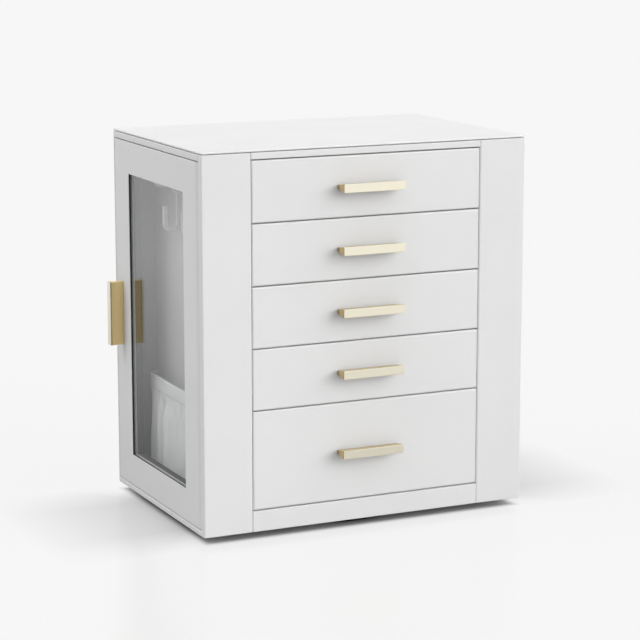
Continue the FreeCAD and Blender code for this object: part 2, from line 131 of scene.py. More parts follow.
class OrganizerLeather(PropertyGroup):
    colour: colour("Colour", "Colour of the white leather", (0.870, 0.870, 0.868))
    grain_pitch: length("Grain pitch", "Width of one pebble of the grain", 0.75)
    grain_depth: share("Grain depth", "How strongly the grain stands out", 0.22)
    edge: length("Edge", "Rounding where leather is wrapped round a thin board", 0.65)
    seam: length("Seam", "Height of the dark seam under the top panel", 0.5)
    seam_depth: length("Seam depth", "Depth of the seam under the top panel", 3.0)
    corner: length("Corner", "Rounding of the body's upright corners", 2.0)
    front_edge: length("Front edge", "Rounding round a drawer front", 1.4)


class OrganizerLining(PropertyGroup):
    colour: colour("Colour", "Colour of the velvet", (0.33, 0.328, 0.322))
    # painted light: the wall behind the hooks gets a paler copy of the velvet, as it is lit more than the
    # rear wall
    pale: colour("Pale", "Colour of the velvet on the wall behind the hooks", (0.62, 0.615, 0.605))
    dark: colour("Dark", "Colour of the velvet on the bead that holds a pane", (0.055, 0.055, 0.054))
    pale_strip: length("Pale strip", "Width of the pale strip between bead and pane", 1.7)
    pile_pitch: length("Pile pitch", "Spacing of the tufts of the pile", 0.28)
    rim: length("Rim", "Rounding of the velvet walls between the cells", 1.3)
    tray_wall: length("Tray wall", "Thickness of a drawer's side walls", 3.5)
    tray_floor: length("Tray floor", "Thickness of a drawer's floor", 3.0)
    cell_wall: length("Cell wall", "Thickness of the walls between the cells", 3.0)
    cell_floor: length("Cell floor", "Thickness under a cell", 1.5)
    roll_radius: length("Roll radius", "Radius of a ring roll", 8.0)
    roll_pitch: length("Roll pitch", "Widest spacing of the ring rolls", 16.8)
    roll_base: length("Roll base", "Thickness of the board under the ring rolls", 4.0)
    wall_panel: length("Wall panel", "Thickness of the panel behind the hooks, above and below", 2.0)
    front_panel: length("Front panel", "Thickness of a compartment's panel beside the pivots", 3.0)
    rear_panel: length("Rear panel", "Thickness of a compartment's panel round the magnet", 9.0)


class OrganizerMetal(PropertyGroup):
    # painted highlight: the face colour is paler than the sides' colour, standing in for the bright light
    # the face mirrors
    face: colour("Face", "Colour of the polished face of a handle", (0.985, 0.930, 0.755))
    side: colour("Side", "Colour of the brushed sides of a handle", (1.0, 0.78, 0.39))
    # painted shade: a level bar's sides are painted darker than an upright bar's
    level_side_shade: share("Level tone", "How bright a level bar's sides are beside an upright bar's", 0.68)
    # painted shade: the fine dark line painted behind a handle's face
    painted_edge_shade: share("Painted edge shade", "How much darker the fine line behind a handle's face is", 0.55)
    handle_face: length("Handle face", "Width of a handle's outer face", 7.0)
    handle_base: length("Handle base", "Width of a handle where it meets the board", 3.4)
    handle_edge: length("Handle edge", "Rounding of a handle's edges", 0.35)
    screw_head: length("Screw head", "Radius of a screw's head", 2.4)
    screw_rise: length("Screw rise", "Height of a screw's head", 1.4)
    screw_shank: length("Screw shank", "Radius of a screw's shank", 1.0)
    rivet_shank: length("Rivet shank", "Radius of the swivel's rivet", 3.0)
    rivet_head: length("Rivet head", "Height of the rivet's head", 1.4)
    ball_count: IntProperty(name="Balls", description="Balls in the swivel", default=12, min=3)


class OrganizerDoor(PropertyGroup):
    rebate: length("Rebate", "How far the pane reaches under the frame", 4.85)
    pane_gap: length("Pane gap", "Space left round the pane", 0.15)
    window_edge: length("Window edge", "Rounding round the window", 0.4)
    seat_gap: length("Seat gap", "Space left round a screw's head in the frame", 0.15)
    strike: length("Strike", "Radius of the strike plate", 4.0)
    strike_rise: length("Strike rise", "Thickness of the strike plate", 1.0)
    strike_seat: length("Strike seat", "Depth of the seat for the strike plate", 1.0)


class OrganizerHooks(PropertyGroup):
    width: length("Width", "Width of a hook", 4.6)
    strap: length("Strap", "Thickness of a hook", 2.2)
    reach: length("Reach", "How far a hook stands out from the wall", 13.5)
    corner: length("Corner", "Rounding of a hook's turns, along its middle", 3.9)
    lip: length("Lip", "Height of a hook's lip", 20.0)
    spacing: length("Spacing", "Distance from hook to hook", 20.0)
    short_rise: length("Short rise", "How much higher a short hook ends than a long one", 33.5)
    rack_height: length("Rack height", "Height of the bar that carries the hooks", 14.0)
    count: IntProperty(name="Hooks", description="Hooks on one rack", default=6, min=2)


class OrganizerPouch(PropertyGroup):
    colour: colour("Colour", "Colour of the satin", (0.950, 0.950, 0.945))
    thread_colour: colour("Thread colour", "Colour of the sewing thread", (0.80, 0.80, 0.79))
    hem: length("Hem", "Height of the smooth band at the top", 12.0)
    cloth: length("Cloth", "Thickness of the cloth", 0.5)
    pleats: IntProperty(name="Pleats", description="Wide folds along one pouch", default=12, min=3)
    pleat_depth: length("Pleat depth", "How far a wide fold stands out", 3.0)
    fold: share("Fold", "Where the deepest fold lies, as a share of the pouch's length", 0.735)
    fold_width: length("Fold width", "Width of the deepest fold", 16)
    fold_depth: length("Fold depth", "Depth of the deepest fold", 11.0)
    gather_depth: length("Gather depth", "How far the fine folds under the hem stand out", 1.2)
    margin: length("Margin", "From the cloth's ends to the pouch's ends", 0.8)
    stitch: length("Stitch", "Length of one stitch", 1.7)
    thread: length("Thread", "Radius of the sewing thread", 0.16)


class OrganizerStage(PropertyGroup):
    white: share("White", "Brightness of the background", 0.93)
    bounce: share("Bounce", "How much light the floor gives back", 0.42)
    dull_reach: length("Dull reach", "Up to here the floor looks dull in mirrors", 250)
    white_reach: length("White reach", "From here on the floor looks white in mirrors", 1350)
    gloss: share("Gloss", "Share of the floor that mirrors", 0.1)
    glow: share("Glow", "How much of the floor's white is its own, away from the body", 0.9)
    glow_start: length("Glow start", "How far under the body's edge the floor is dark", 8)
    glow_end: length("Glow end", "How far before the body's edge the floor is white again", 3)
    shade: share("Shade", "How dark the floor is under the body", 0.25)
    side_shade: share("Side shade", "How much darker it is along the sides' lower edges", 0.5)
    side_start: length("Side start", "How far under a side's edge it is darkest", 9)
    wide_shade: share("Wide shade", "How dark the floor is beside the body", 0.33)
    wide_reach: length("Wide reach", "How far from the side this soft shade ends", 120)
    sky: share("Sky", "Even light from all round", 0.37)
    key: share("Key", "Brightness of the large lamp at the right", 3.5, top=10)
    key_turn: angle("Key turn", "How far the large lamp stands to the right of the front", 45.6)
    key_rise: angle("Key rise", "How high the large lamp stands", 11)
    key_size: angle("Key size", "From the middle of the large lamp to its faded edge", 56.1)
    fill: share("Fill", "Brightness of the second lamp, at the left side", 2.14, top=10)
    fill_turn: angle("Fill turn", "How far the second lamp stands to the right of the front", -104.4)
    fill_rise: angle("Fill rise", "How high the second lamp stands", 53.3)
    fill_size: angle("Fill size", "From the middle of the second lamp to its faded edge", 47)
    aim: FloatVectorProperty(name="Aim", description="Point that the camera looks at",
                             default=(0.0033, 0.0, 0.1494), subtype="TRANSLATION")
    turn: angle("Turn", "How far the camera stands to the left", 25.19)
    rise: angle("Rise", "How steeply the camera looks down", 11.05)
    distance: length("Distance", "From the camera to the point that it looks at", 1873)
    lens: FloatProperty(name="Lens", description="Focal length", default=128.0, subtype="DISTANCE_CAMERA")


GROUPS = {
    "organizer_leather": OrganizerLeather,
    "organizer_lining": OrganizerLining,
    "organizer_metal": OrganizerMetal,
    "organizer_door": OrganizerDoor,
    "organizer_hooks": OrganizerHooks,
    "organizer_pouch": OrganizerPouch,
    "organizer_stage": OrganizerStage,
}


# Shapes

def block(low, high):
    """A square-edged block between two corners."""
    shape = bmesh.new()
    size = high - low
    place = Matrix.Translation((low + high) / 2) @ Matrix.Diagonal((*size, 1))
    bmesh.ops.create_cube(shape, size=1, matrix=place)
    return shape


def raised(outline, low, high):
    """A flat outline of (x, y) points, raised from the height low to the height high."""
    shape = bmesh.new()
    floor = shape.faces.new([shape.verts.new((x, y, low)) for x, y in outline])
    grown = bmesh.ops.extrude_face_region(shape, geom=[floor], use_keep_orig=True)
    rim = [part for part in grown["geom"] if isinstance(part, bmesh.types.BMVert)]
    bmesh.ops.translate(shape, verts=rim, vec=(0, 0, high - low))
    bmesh.ops.recalc_face_normals(shape, faces=shape.faces)
    return shape


def turned(profile, steps):
    """A profile of (radius, height) points, turned about the Z axis."""
    shape = bmesh.new()
    points = [shape.verts.new((radius, 0, height)) for radius, height in profile]
    edges = [shape.edges.new(pair) for pair in zip(points[:-1], points[1:])]
    bmesh.ops.spin(shape, geom=points + edges, cent=(0, 0, 0), axis=(0, 0, 1),
                   angle=math.tau, steps=steps, use_duplicate=False)
    bmesh.ops.remove_doubles(shape, verts=shape.verts, dist=1e-6)
    bmesh.ops.recalc_face_normals(shape, faces=shape.faces)
    return shape


def sharp(edge):
    return len(edge.link_faces) == 2 and edge.calc_face_angle() > SHARP


def runs_along(edge, axis):
    start, end = (vert.co for vert in edge.verts)
    return abs((end - start).normalized()[axis]) > 0.999


def upright(edge):
    return runs_along(edge, 2)


def middle(edge):
    start, end = (vert.co for vert in edge.verts)
    return (start + end) / 2


def soften(shape, radius, wanted=sharp, segments=3):
    """Rounds every edge that passes the test."""
    edges = [edge for edge in shape.edges if wanted(edge)]
    bmesh.ops.bevel(shape, geom=edges, offset=radius, segments=segments, profile=0.5,
                    affect="EDGES", clamp_overlap=True)
    return shape


def added(shape, *others):
    """The first shape with the others put into it."""
    for other in others:
        mesh = bpy.data.meshes.new("part")
        other.to_mesh(mesh)
        other.free()
        shape.from_mesh(mesh)
        bpy.data.meshes.remove(mesh)
    return shape


def mirrored(shape):
    """The shape on the other side of the body, with its faces turned outwards again."""
    for vert in shape.verts:
        vert.co.x = -vert.co.x
    bmesh.ops.reverse_faces(shape, faces=shape.faces)
    return shape


def moved(shape, place):
    bmesh.ops.transform(shape, matrix=place, verts=shape.verts)
    return shape


def wrapped_board(low, high, edge, corner=0.0, wanted=lambda e: True):
    """A board in leather: its upright corners may be rounder than its other edges."""
    shape = block(low, high)
    if corner:
        soften(shape, corner, lambda e: upright(e) and wanted(e), 6)
    return soften(shape, edge)


def from_node(node):
    """A welded copy of a node's mesh, with its flat faces made whole."""
    shape = bmesh.new()
    shape.from_mesh(frame["nodes"][node].data)
    bmesh.ops.remove_doubles(shape, verts=shape.verts, dist=WELD)
    return flattened(shape)


def flattened(shape):
    bmesh.ops.dissolve_limit(shape, angle_limit=FLAT, verts=shape.verts, edges=shape.edges)
    return shape


def at(point, **places):
    """A copy of the point with some of its x, y and z replaced."""
    copy = point.copy()
    for axis, value in places.items():
        setattr(copy, axis, value)
    return copy


def centre(node):
    return Vector([(start + end) / 2 for start, end in zip(*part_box(node))])


def sided(shape, side):
    """A shape made for the left side, turned over for the right one."""
    return mirrored(shape) if side == "right" else shape


def plain_object(name, shape):
    mesh = bpy.data.meshes.new(name)
    shape.to_mesh(mesh)
    shape.free()
    made = bpy.data.objects.new(name, mesh)
    bpy.context.scene.collection.objects.link(made)
    return made


def settled(made):
    """The mesh of an object with its modifiers worked in, as a shape. The object goes."""
    graph = bpy.context.evaluated_depsgraph_get()
    mesh = bpy.data.meshes.new_from_object(made.evaluated_get(graph))
    old = made.data
    bpy.data.objects.remove(made)
    bpy.data.meshes.remove(old)
    shape = bmesh.new()
    shape.from_mesh(mesh)
    bpy.data.meshes.remove(mesh)
    return shape


def carved(shape, *tools):
    """The shape with the tools' space cut out of it."""
    made = plain_object("carved", shape)
    cutters = [plain_object("cutter", tool) for tool in tools]
    for cutter in cutters:
        cut = made.modifiers.new("Cut", "BOOLEAN")
        cut.operation = "DIFFERENCE"
        cut.solver = "EXACT"
        cut.object = cutter
    result = settled(made)
    for cutter in cutters:
        mesh = cutter.data
        bpy.data.objects.remove(cutter)
        bpy.data.meshes.remove(mesh)
    return result


def piece(node, shape, body, *slots, crisp=None):
    """A finished piece that moves with its body. It has its node's name and stands for it."""
    made = plain_object(node.capitalize(), shape)
    for slot in slots:
        made.data.materials.append(finish(slot))
    made.data.shade_smooth()
    if crisp is not None:
        made.data.set_sharp_from_angle(angle=math.radians(crisp))
    even = made.modifiers.new("Even shading", "WEIGHTED_NORMAL")
    even.keep_sharp = crisp is not None
    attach(made, body)
    if node in frame["nodes"]:
        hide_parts(node)
    return made


def painted(node, slot):
    """Gives its finish to a node that is shown as it is."""
    slots = frame["nodes"][node].data.materials
    slots.clear()
    slots.append(finish(slot))


# Nodes, for finishes and for what repeats

class Nodes:
    """Adds nodes to one tree. Inputs hold values or sockets; the rest are the node's settings."""

    def __init__(self, tree):
        self.tree = tree

    def add(self, kind, inputs=None, **settings):
        node = self.tree.nodes.new(kind)
        for name, value in settings.items():
            setattr(node, name, value)
        for key, value in (inputs or {}).items():
            socket = node.inputs[key]
            if isinstance(value, bpy.types.NodeSocket):
                self.tree.links.new(value, socket)
            else:
                socket.default_value = value
        return node

    def out(self, kind, inputs=None, **settings):
        return self.add(kind, inputs, **settings).outputs[0]

    def math(self, operation, *values):
        return self.out("ShaderNodeMath", dict(enumerate(values)), operation=operation)

    def times(self, first, *others):
        for other in others:
            first = self.math("MULTIPLY", first, other)
        return first

    def one_less(self, value):
        return self.math("SUBTRACT", 1.0, value)

    def vector(self, operation, *values):
        return self.out("ShaderNodeVectorMath", dict(enumerate(values)), operation=operation)

    def scaled(self, vector, factor):
        inputs = {"Vector": vector, "Scale": factor}
        return self.out("ShaderNodeVectorMath", inputs, operation="SCALE")

    def triple(self, x=0.0, y=0.0, z=0.0):
        return self.out("ShaderNodeCombineXYZ", {"X": x, "Y": y, "Z": z})

    def between(self, value, low, high, start=0.0, end=1.0, **settings):
        """The value's stretch from start to end, laid over low to high."""
        inputs = {"Value": value, "From Min": start, "From Max": end, "To Min": low, "To Max": high}
        return self.out("ShaderNodeMapRange", inputs, **settings)


class Finish(Nodes):
    """A new material: its shader with its even values, and the place on the object for patterns."""

    def __init__(self, name, **values):
        self.material = bpy.data.materials.new(name)
        self.material.use_nodes = True
        super().__init__(self.material.node_tree)
        self.shader = self.tree.nodes["Principled BSDF"]
        for socket, value in values.items():
            self.shader.inputs[socket.replace("_", " ")].default_value = value
        self.place = self.add("ShaderNodeTexCoord").outputs["Object"]

    def cloud(self, scale, detail=2.0, place=None, part="Fac"):
        """Soft random values about 0.5."""
        inputs = {"Vector": self.place if place is None else place, "Scale": scale, "Detail": detail}
        return self.add("ShaderNodeTexNoise", inputs).outputs[part]

    def stretched(self, place, scale):
        return self.out("ShaderNodeMapping", {"Vector": place, "Scale": scale})

    def off_middle(self, axis):
        """The distance from the body's middle along one axis."""
        parts = self.add("ShaderNodeSeparateXYZ", {"Vector": self.place}).outputs
        return self.math("ABSOLUTE", parts[axis])

    def swing(self, value, low, high):
        """A cloud's values, nearly all between 0.3 and 0.7, laid over low to high."""
        return self.between(value, low, high, 0.3, 0.7)

    def put(self, socket, value):
        self.tree.links.new(value, self.shader.inputs[socket])

    def tone(self, colour, value, low, high):
        """A colour that wanders a little between a darker and a lighter tone with the value."""
        self.put("Base Color", self.scaled(tuple(colour), self.swing(value, low, high)))

    def bump(self, height, strength, distance):
        inputs = {"Height": height, "Strength": strength, "Distance": distance}
        self.put("Normal", self.out("ShaderNodeBump", inputs))

    def mixed(self, factor, first, second):
        return self.out("ShaderNodeMixShader", {0: factor, 1: first, 2: second})

    def show(self, shader):
        self.tree.links.new(shader, self.tree.nodes["Material Output"].inputs["Surface"])


def settings(group):
    return getattr(bpy.context.scene, "organizer_" + group)


def leather():
    """White leather: pebbles between fine creases, smoother on their tops."""
    sizes = settings("leather")
    pitch = sizes.grain_pitch
    look = Finish("Wrapped leather", IOR=1.45)
    drift = look.cloud(0.35 / pitch, 1.0, part="Color")
    uneven = look.vector("ADD", look.place, look.scaled(drift, pitch))
    creases = look.add("ShaderNodeTexVoronoi", {"Vector": uneven, "Scale": 1 / pitch},
                       feature="DISTANCE_TO_EDGE").outputs["Distance"]
    pebble = look.between(creases, 0, 1, 0.0, 0.22)
    pore = look.cloud(4 / pitch, 3.0)
    look.bump(look.math("MULTIPLY_ADD", pore, 0.35, pebble), sizes.grain_depth, 0.05 * MM)
    look.put("Roughness", look.between(pebble, 0.56, 0.44))
    look.tone(sizes.colour, look.cloud(16, 3.0), 0.988, 1.012)
    return look.material


def pile(look):
    """Raises the tufts of short pile, and returns them for the colour."""
    tuft = look.cloud(1 / settings("lining").pile_pitch)
    look.bump(tuft, 0.55, 0.12 * MM)
    return tuft


def velvet(name, colour):
    """Short pile that lies this way and that, with a pale sheen at grazing angles."""
    look = Finish(name, Roughness=0.95, Sheen_Weight=0.35, Sheen_Roughness=0.4,
                  Specular_IOR_Level=0.2)
    lie = look.cloud(42, 3.0, look.stretched(look.place, (1.0, 1.0, 0.45)))
    both = look.math("MULTIPLY_ADD", pile(look), 0.5, look.times(lie, 0.5))
    look.tone(getattr(settings("lining"), colour), both, 0.90, 1.06)
    return look.material


def brass(name, along, out_axis, foot, face, tone, foot_shade):
    """Brushed brass: lines run along the bar. Its face is smoother, and painted paler as a highlight,
    with a painted dark line behind it, and its sides are painted darker towards the foot as shade. It
    throws little of its colour on the board."""
    sizes = settings("metal")
    polish_start, polish_full = face - 0.6 * MM, face - 0.2 * MM
    line_middle, line_dark, line_end = face - 0.8 * MM, 0.2 * MM, 0.9 * MM
    look = Finish(name, Metallic=0.65)
    scale = tuple(BRUSH_ALONG if axis == along else BRUSH_ACROSS for axis in range(3))
    brushed = look.stretched(look.place, scale)
    line = look.cloud(1.0, 3.0, brushed)
    out = look.off_middle(out_axis)
    polished_highlit = look.between(out, 0, 1, polish_start, polish_full)
    # painted shade: a fine dark line painted just behind the face
    off_line = look.math("ABSOLUTE", look.math("SUBTRACT", out, line_middle))
    edge_shade = look.between(off_line, 1 - sizes.painted_edge_shade, 1.0, line_dark, line_end)
    # painted shade: the sides darken towards the foot, and a level bar's sides darken overall
    near_foot = look.between(out, foot_shade, 1.0, foot, foot + 0.4 * (face - foot))
    shading = look.times(edge_shade, look.swing(line, 0.93, 1.07), near_foot, tone)
    side = look.scaled(tuple(sizes.side), shading)
    step = look.vector("SUBTRACT", tuple(sizes.face), side)
    # the face's paler colour, blended in by the mask, is a painted highlight
    blend = look.vector("MULTIPLY_ADD", step, look.triple(polished_highlit, polished_highlit, polished_highlit), side)
    thrown = look.add("ShaderNodeLightPath").outputs["Is Diffuse Ray"]
    look.put("Base Color", look.scaled(blend, look.math("MULTIPLY_ADD", thrown, THROWN - 1, 1.0)))
    smoother = look.math("MULTIPLY_ADD", polished_highlit, -0.16, 0.44)
    grain = look.times(look.swing(line, -0.03, 0.03), look.one_less(polished_highlit))
    look.put("Roughness", look.math("ADD", smoother, grain))
    look.bump(line, 0.03, 0.01 * MM)
    return look.material


def bead_velvet():
    """The bead's velvet, with a pale strip beside the pane."""
    sizes = settings("lining")
    look = Finish("Bead velvet", Roughness=0.95, Specular_IOR_Level=0.2)
    strip = -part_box("door_left_bead")[0].x - sizes.pale_strip
    pale = look.between(look.off_middle(0), 1.0, 12.0, strip - 0.2 * MM, strip)
    shading = look.times(pale, look.swing(pile(look), 0.90, 1.06))
    look.put("Base Color", look.scaled(tuple(sizes.dark), shading))
    return look.material


def drawer_brass():
    low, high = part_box("drawer_1_handle")
    sizes = settings("metal")
    # a level bar's foot takes the dark line's painted shade, and its sides the level bars' painted shade
    return brass("Brass, level bars", 0, 1, -high.y, -low.y, sizes.level_side_shade, 1 - sizes.painted_edge_shade)


def door_brass():
    low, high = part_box("door_right_handle")
    return brass("Brass, upright bars", 2, 0, low.x, high.x, 1.0, UPRIGHT_FOOT_SHADE)


def glass():
    """Clear pane. Lamps and the light between things go straight through it, so that the
    compartment is lit."""
    look = Finish("Clear glass", Base_Color=(0.965, 0.975, 0.972, 1), Roughness=0.0, IOR=1.45,
                  Transmission_Weight=1.0)
    look.bump(look.cloud(9, 1.0), 0.02, 0.2 * MM)
    rays = look.add("ShaderNodeLightPath").outputs
    lighting = look.math("MAXIMUM", rays["Is Shadow Ray"], rays["Is Diffuse Ray"])
    clear = look.out("ShaderNodeBsdfTransparent", {"Color": (0.97, 0.98, 0.98, 1)})
    look.show(look.mixed(lighting, look.shader.outputs[0], clear))
    return look.material


def speckled(name, tone, rough, pitch, depth, **values):
    """An even material with a fine moulded or cast texture."""
    look = Finish(name, **values)
    speck = look.cloud(1 / pitch, 3.0)
    look.tone(tone, look.cloud(30), 0.95, 1.05)
    look.put("Roughness", look.swing(speck, rough - 0.05, rough + 0.05))
    look.bump(speck, depth, 0.05 * MM)
    return look.material


def satin():
    """Satin cloth with threads that follow the cloth's own map."""
    look = Finish("Pouch satin", Sheen_Weight=0.25, Sheen_Roughness=0.35, Specular_IOR_Level=0.35)
    cloth = look.out("ShaderNodeUVMap", uv_map="cloth")
    threads = [
        look.add("ShaderNodeTexWave", {"Vector": cloth, "Scale": 1 / (WAVES * pitch)},
                 bands_direction=axis).outputs["Fac"]
        for axis, pitch in (("X", 0.34 * MM), ("Y", 0.42 * MM))]
    slub = look.cloud(1.0, 2.0, look.stretched(cloth, (900, 60, 1)))
    look.bump(look.math("MULTIPLY_ADD", slub, 0.5, look.times(*threads)), 0.25, 0.05 * MM)
    look.put("Roughness", look.swing(slub, 0.42, 0.58))
    look.tone(settings("pouch").colour, slub, 0.97, 1.02)
    return look.material


class Tree(Nodes):
    """A geometry tree with named inputs, whose sockets are in `given`."""

    def __init__(self, name, **inputs):
        super().__init__(bpy.data.node_groups.new(name, "GeometryNodeTree"))
        sockets = self.tree.interface
        for label, kind in {"Geometry": "Geometry", **inputs, "Material": "Material"}.items():
            sockets.new_socket(label.replace("_", " "), in_out="INPUT",
                               socket_type="NodeSocket" + kind)
        sockets.new_socket("Geometry", in_out="OUTPUT", socket_type="NodeSocketGeometry")
        self.given = self.add("NodeGroupInput").outputs

    def joined(self, *parts):
        join = self.add("GeometryNodeJoinGeometry")
        for part in parts:
            self.tree.links.new(part, join.inputs[0])
        return join.outputs[0]

    def lifted(self, geometry, height):
        inputs = {"Geometry": geometry, "Translation": self.triple(z=height)}
        return self.out("GeometryNodeTransform", inputs)

    def rounded(self, curve, radius, count):
        inputs = {"Curve": curve, "Count": count, "Radius": radius, "Limit Radius": True}
        return self.out("GeometryNodeFilletCurve", inputs, mode="POLY")

    def copies(self, points, part, **more):
        inputs = {"Points": points, "Instance": part, **more}
        return self.out("GeometryNodeInstanceOnPoints", inputs)

    def closed(self, geometry):
        """Ends the tree: its copies made real and its material set."""
        real = self.out("GeometryNodeRealizeInstances", {"Geometry": geometry})
        inputs = {"Geometry": real, "Material": self.given["Material"]}
        self.add("NodeGroupOutput", {"Geometry": self.out("GeometryNodeSetMaterial", inputs)})
        return self.tree


FINISHES = {
    "white_leather": leather,
    "velvet": lambda: velvet("Velvet", "colour"),
    # painted light: a paler copy of the velvet for the better lit wall behind the hooks
    "velvet/pale": lambda: velvet("Pale velvet", "pale"),
    "velvet/bead": bead_velvet,
    # the level and the upright bars get two copies of the brass, the level one with more painted shade
    "gold_metal": drawer_brass,
    "gold_metal/upright": door_brass,
    "clear_glass": glass,
    "pouch_fabric": satin,
    "pouch_fabric/thread": lambda: speckled("Sewing thread", settings("pouch").thread_colour, 0.6,
                                            0.2 * MM, 0.3),
    "black_seal": lambda: speckled("Seal rubber", (0.018,) * 3, 0.55, 0.6 * MM, 0.1),
    "black_pad": lambda: speckled("Pad rubber", (0.016,) * 3, 0.9, 0.8 * MM, 0.5),
    "black_plastic": lambda: speckled("Base plastic", (0.010,) * 3, 0.55, 0.5 * MM, 0.35,
                                      Specular_IOR_Level=0.15),
    "steel": lambda: speckled("Plated steel", (0.62, 0.62, 0.63), 0.3, 0.7 * MM, 0.06, Metallic=1.0),
    "hook_plastic": lambda: speckled("Hook plastic", (0.86, 0.86, 0.85), 0.24, 4 * MM, 0.05,
                                     Coat_Weight=0.2),
}
made_finishes = {}


def finish(slot):
    """The material of a slot, or of its kind named after the stroke, made when first asked for."""
    if slot not in made_finishes:
        made_finishes[slot] = FINISHES[slot]()
    return made_finishes[slot]


def grown(tree, shape, slot, **values):
    """The plain shape that a tree makes from the given one."""
    made = plain_object(tree.name, shape)
    modifier = made.modifiers.new(tree.name, "NODES")
    modifier.node_group = tree
    wanted = {label.replace("_", " "): value for label, value in values.items()}
    wanted["Material"] = finish(slot)
    for socket in tree.interface.items_tree:
        if socket.item_type == "SOCKET" and socket.in_out == "INPUT" and socket.name in wanted:
            modifier[socket.identifier] = wanted[socket.name]
    return settled(made)


def screw_tree():
    """Pan head screws with a cross recess, one on each point, standing along its axis."""
    tree = Tree("Pan head screws", Head_Radius="Float", Head_Height="Float",
                Shank_Radius="Float", Shank_Length="Float")
    radius, rise, shank_radius, shank_length = tree.given[1:5]
    # Shares of the head's radius: its flat top, and the long and the short side of each slot.
    flat_top, slot_long, slot_short = 0.66, 1.05, 0.26
    half = tree.times(rise, 0.5)
    lower = tree.out("GeometryNodeMeshCylinder", {"Vertices": 28, "Radius": radius, "Depth": half})
    crown = tree.out("GeometryNodeMeshCone", {
        "Vertices": 28, "Radius Top": tree.times(radius, flat_top), "Radius Bottom": radius,
        "Depth": half})
    head = tree.joined(tree.lifted(lower, tree.times(rise, 0.25)), tree.lifted(crown, half))
    welded = tree.out("GeometryNodeMergeByDistance", {"Geometry": head, "Distance": 1e-6})
    slots = []
    for long, short in ((slot_long, slot_short), (slot_short, slot_long)):
        size = tree.triple(tree.times(radius, long), tree.times(radius, short), rise)
        slots.append(tree.lifted(tree.out("GeometryNodeMeshCube", {"Size": size}), rise))
    cut = tree.add("GeometryNodeMeshBoolean", {"Mesh 1": welded, "Mesh 2": slots[0]},
                   operation="DIFFERENCE", solver="EXACT")
    tree.tree.links.new(slots[1], cut.inputs["Mesh 2"])
    shank = tree.out("GeometryNodeMeshCylinder", {
        "Vertices": 20, "Radius": shank_radius, "Depth": shank_length})
    screw = tree.joined(cut.outputs[0], tree.lifted(shank, tree.times(shank_length, -0.5)))
    axis = tree.out("GeometryNodeInputNamedAttribute", {"Name": "axis"}, data_type="FLOAT_VECTOR")
    turn = tree.out("FunctionNodeAlignRotationToVector", {"Vector": axis}, axis="Z")
    return tree.closed(tree.copies(tree.given["Geometry"], screw, Rotation=turn))


def ball_tree():
    """Balls set evenly round a circle."""
    tree = Tree("Ball ring", Circle_Radius="Float", Ball_Radius="Float", Height="Float", Balls="Int")
    given = tree.given
    circle = tree.out("GeometryNodeMeshCircle", {
        "Vertices": given["Balls"], "Radius": given["Circle Radius"]})
    ball = tree.out("GeometryNodeMeshUVSphere", {
        "Segments": 24, "Rings": 14, "Radius": given["Ball Radius"]})
    return tree.closed(tree.lifted(tree.copies(circle, ball), given["Height"]))


def hook_tree():
    """Moulded hooks: a stem down the wall, two round turns and a lip, one below each point."""
    tree = Tree("Hooks", Drop="Float", Reach="Float", Lip="Float", Corner="Float", Width="Float",
                Strap="Float")
    given = tree.given
    low = tree.times(given["Drop"], -1.0)
    out = tree.times(given["Reach"], -1.0)
    tip = tree.math("ADD", low, given["Lip"])
    turns = ((0.0, 0.0), (0.0, low), (out, low), (out, tip))
    corners = {"Point %d" % number: tree.triple(x=x, z=z) for number, (x, z) in enumerate(turns, 1)}
    loop = tree.out("GeometryNodeCurvePrimitiveQuadrilateral", corners, mode="POINTS")
    path = tree.out("GeometryNodeSetSplineCyclic", {"Geometry": loop, "Cyclic": False})
    bent = tree.rounded(path, given["Corner"], 8)
    fine = tree.out("GeometryNodeResampleCurve", {"Curve": bent, "Length": 0.5 * MM}, mode="LENGTH")
    spot = tree.add("GeometryNodeSplineParameter").outputs["Length"]
    left = tree.math("SUBTRACT", tree.out("GeometryNodeSplineLength"), spot)
    near_end = tree.math("MINIMUM", tree.math("DIVIDE", left, tree.times(given["Width"], 0.5)), 1.0)
    back = tree.one_less(near_end)
    dome = tree.math("SQRT", tree.one_less(tree.times(back, back)))
    tapered = tree.out("GeometryNodeSetCurveRadius", {
        "Curve": fine, "Radius": tree.math("MAXIMUM", dome, 0.25)})
    section = tree.out("GeometryNodeCurvePrimitiveQuadrilateral", {
        "Width": given["Width"], "Height": given["Strap"]}, mode="RECTANGLE")
    soft = tree.rounded(section, tree.times(given["Strap"], 0.42), 4)
    hook = tree.out("GeometryNodeCurveToMesh", {
        "Curve": tapered, "Profile Curve": soft, "Fill Caps": True})
    return tree.closed(tree.copies(given["Geometry"], hook))


def stitch_tree():
    """Stitches laid end to end along a line, each a short plump thread."""
    tree = Tree("Stitches", Stitch="Float", Gap="Float", Thread="Float")
    stitch, gap, thread = tree.given[1:4]
    curve = tree.out("GeometryNodeMeshToCurve", {"Mesh": tree.given["Geometry"]})
    spots = tree.add("GeometryNodeCurveToPoints", {
        "Curve": curve, "Length": tree.math("ADD", stitch, gap)}, mode="LENGTH").outputs
    bead = tree.out("GeometryNodeMeshUVSphere", {"Segments": 8, "Rings": 6, "Radius": 1.0})
    size = tree.triple(thread, thread, tree.times(stitch, 0.5))
    return tree.closed(tree.copies(spots["Points"], bead, Rotation=spots["Rotation"], Scale=size))


def row_tree():
    """Copies of one part in an even row."""
    tree = Tree("Row of rolls", Count="Int", Pitch="Float")
    offset = tree.triple(y=tree.given["Pitch"])
    row = tree.out("GeometryNodeMeshLine", {"Count": tree.given["Count"], "Offset": offset},
                   mode="OFFSET")
    return tree.closed(tree.copies(row, tree.given["Geometry"]))


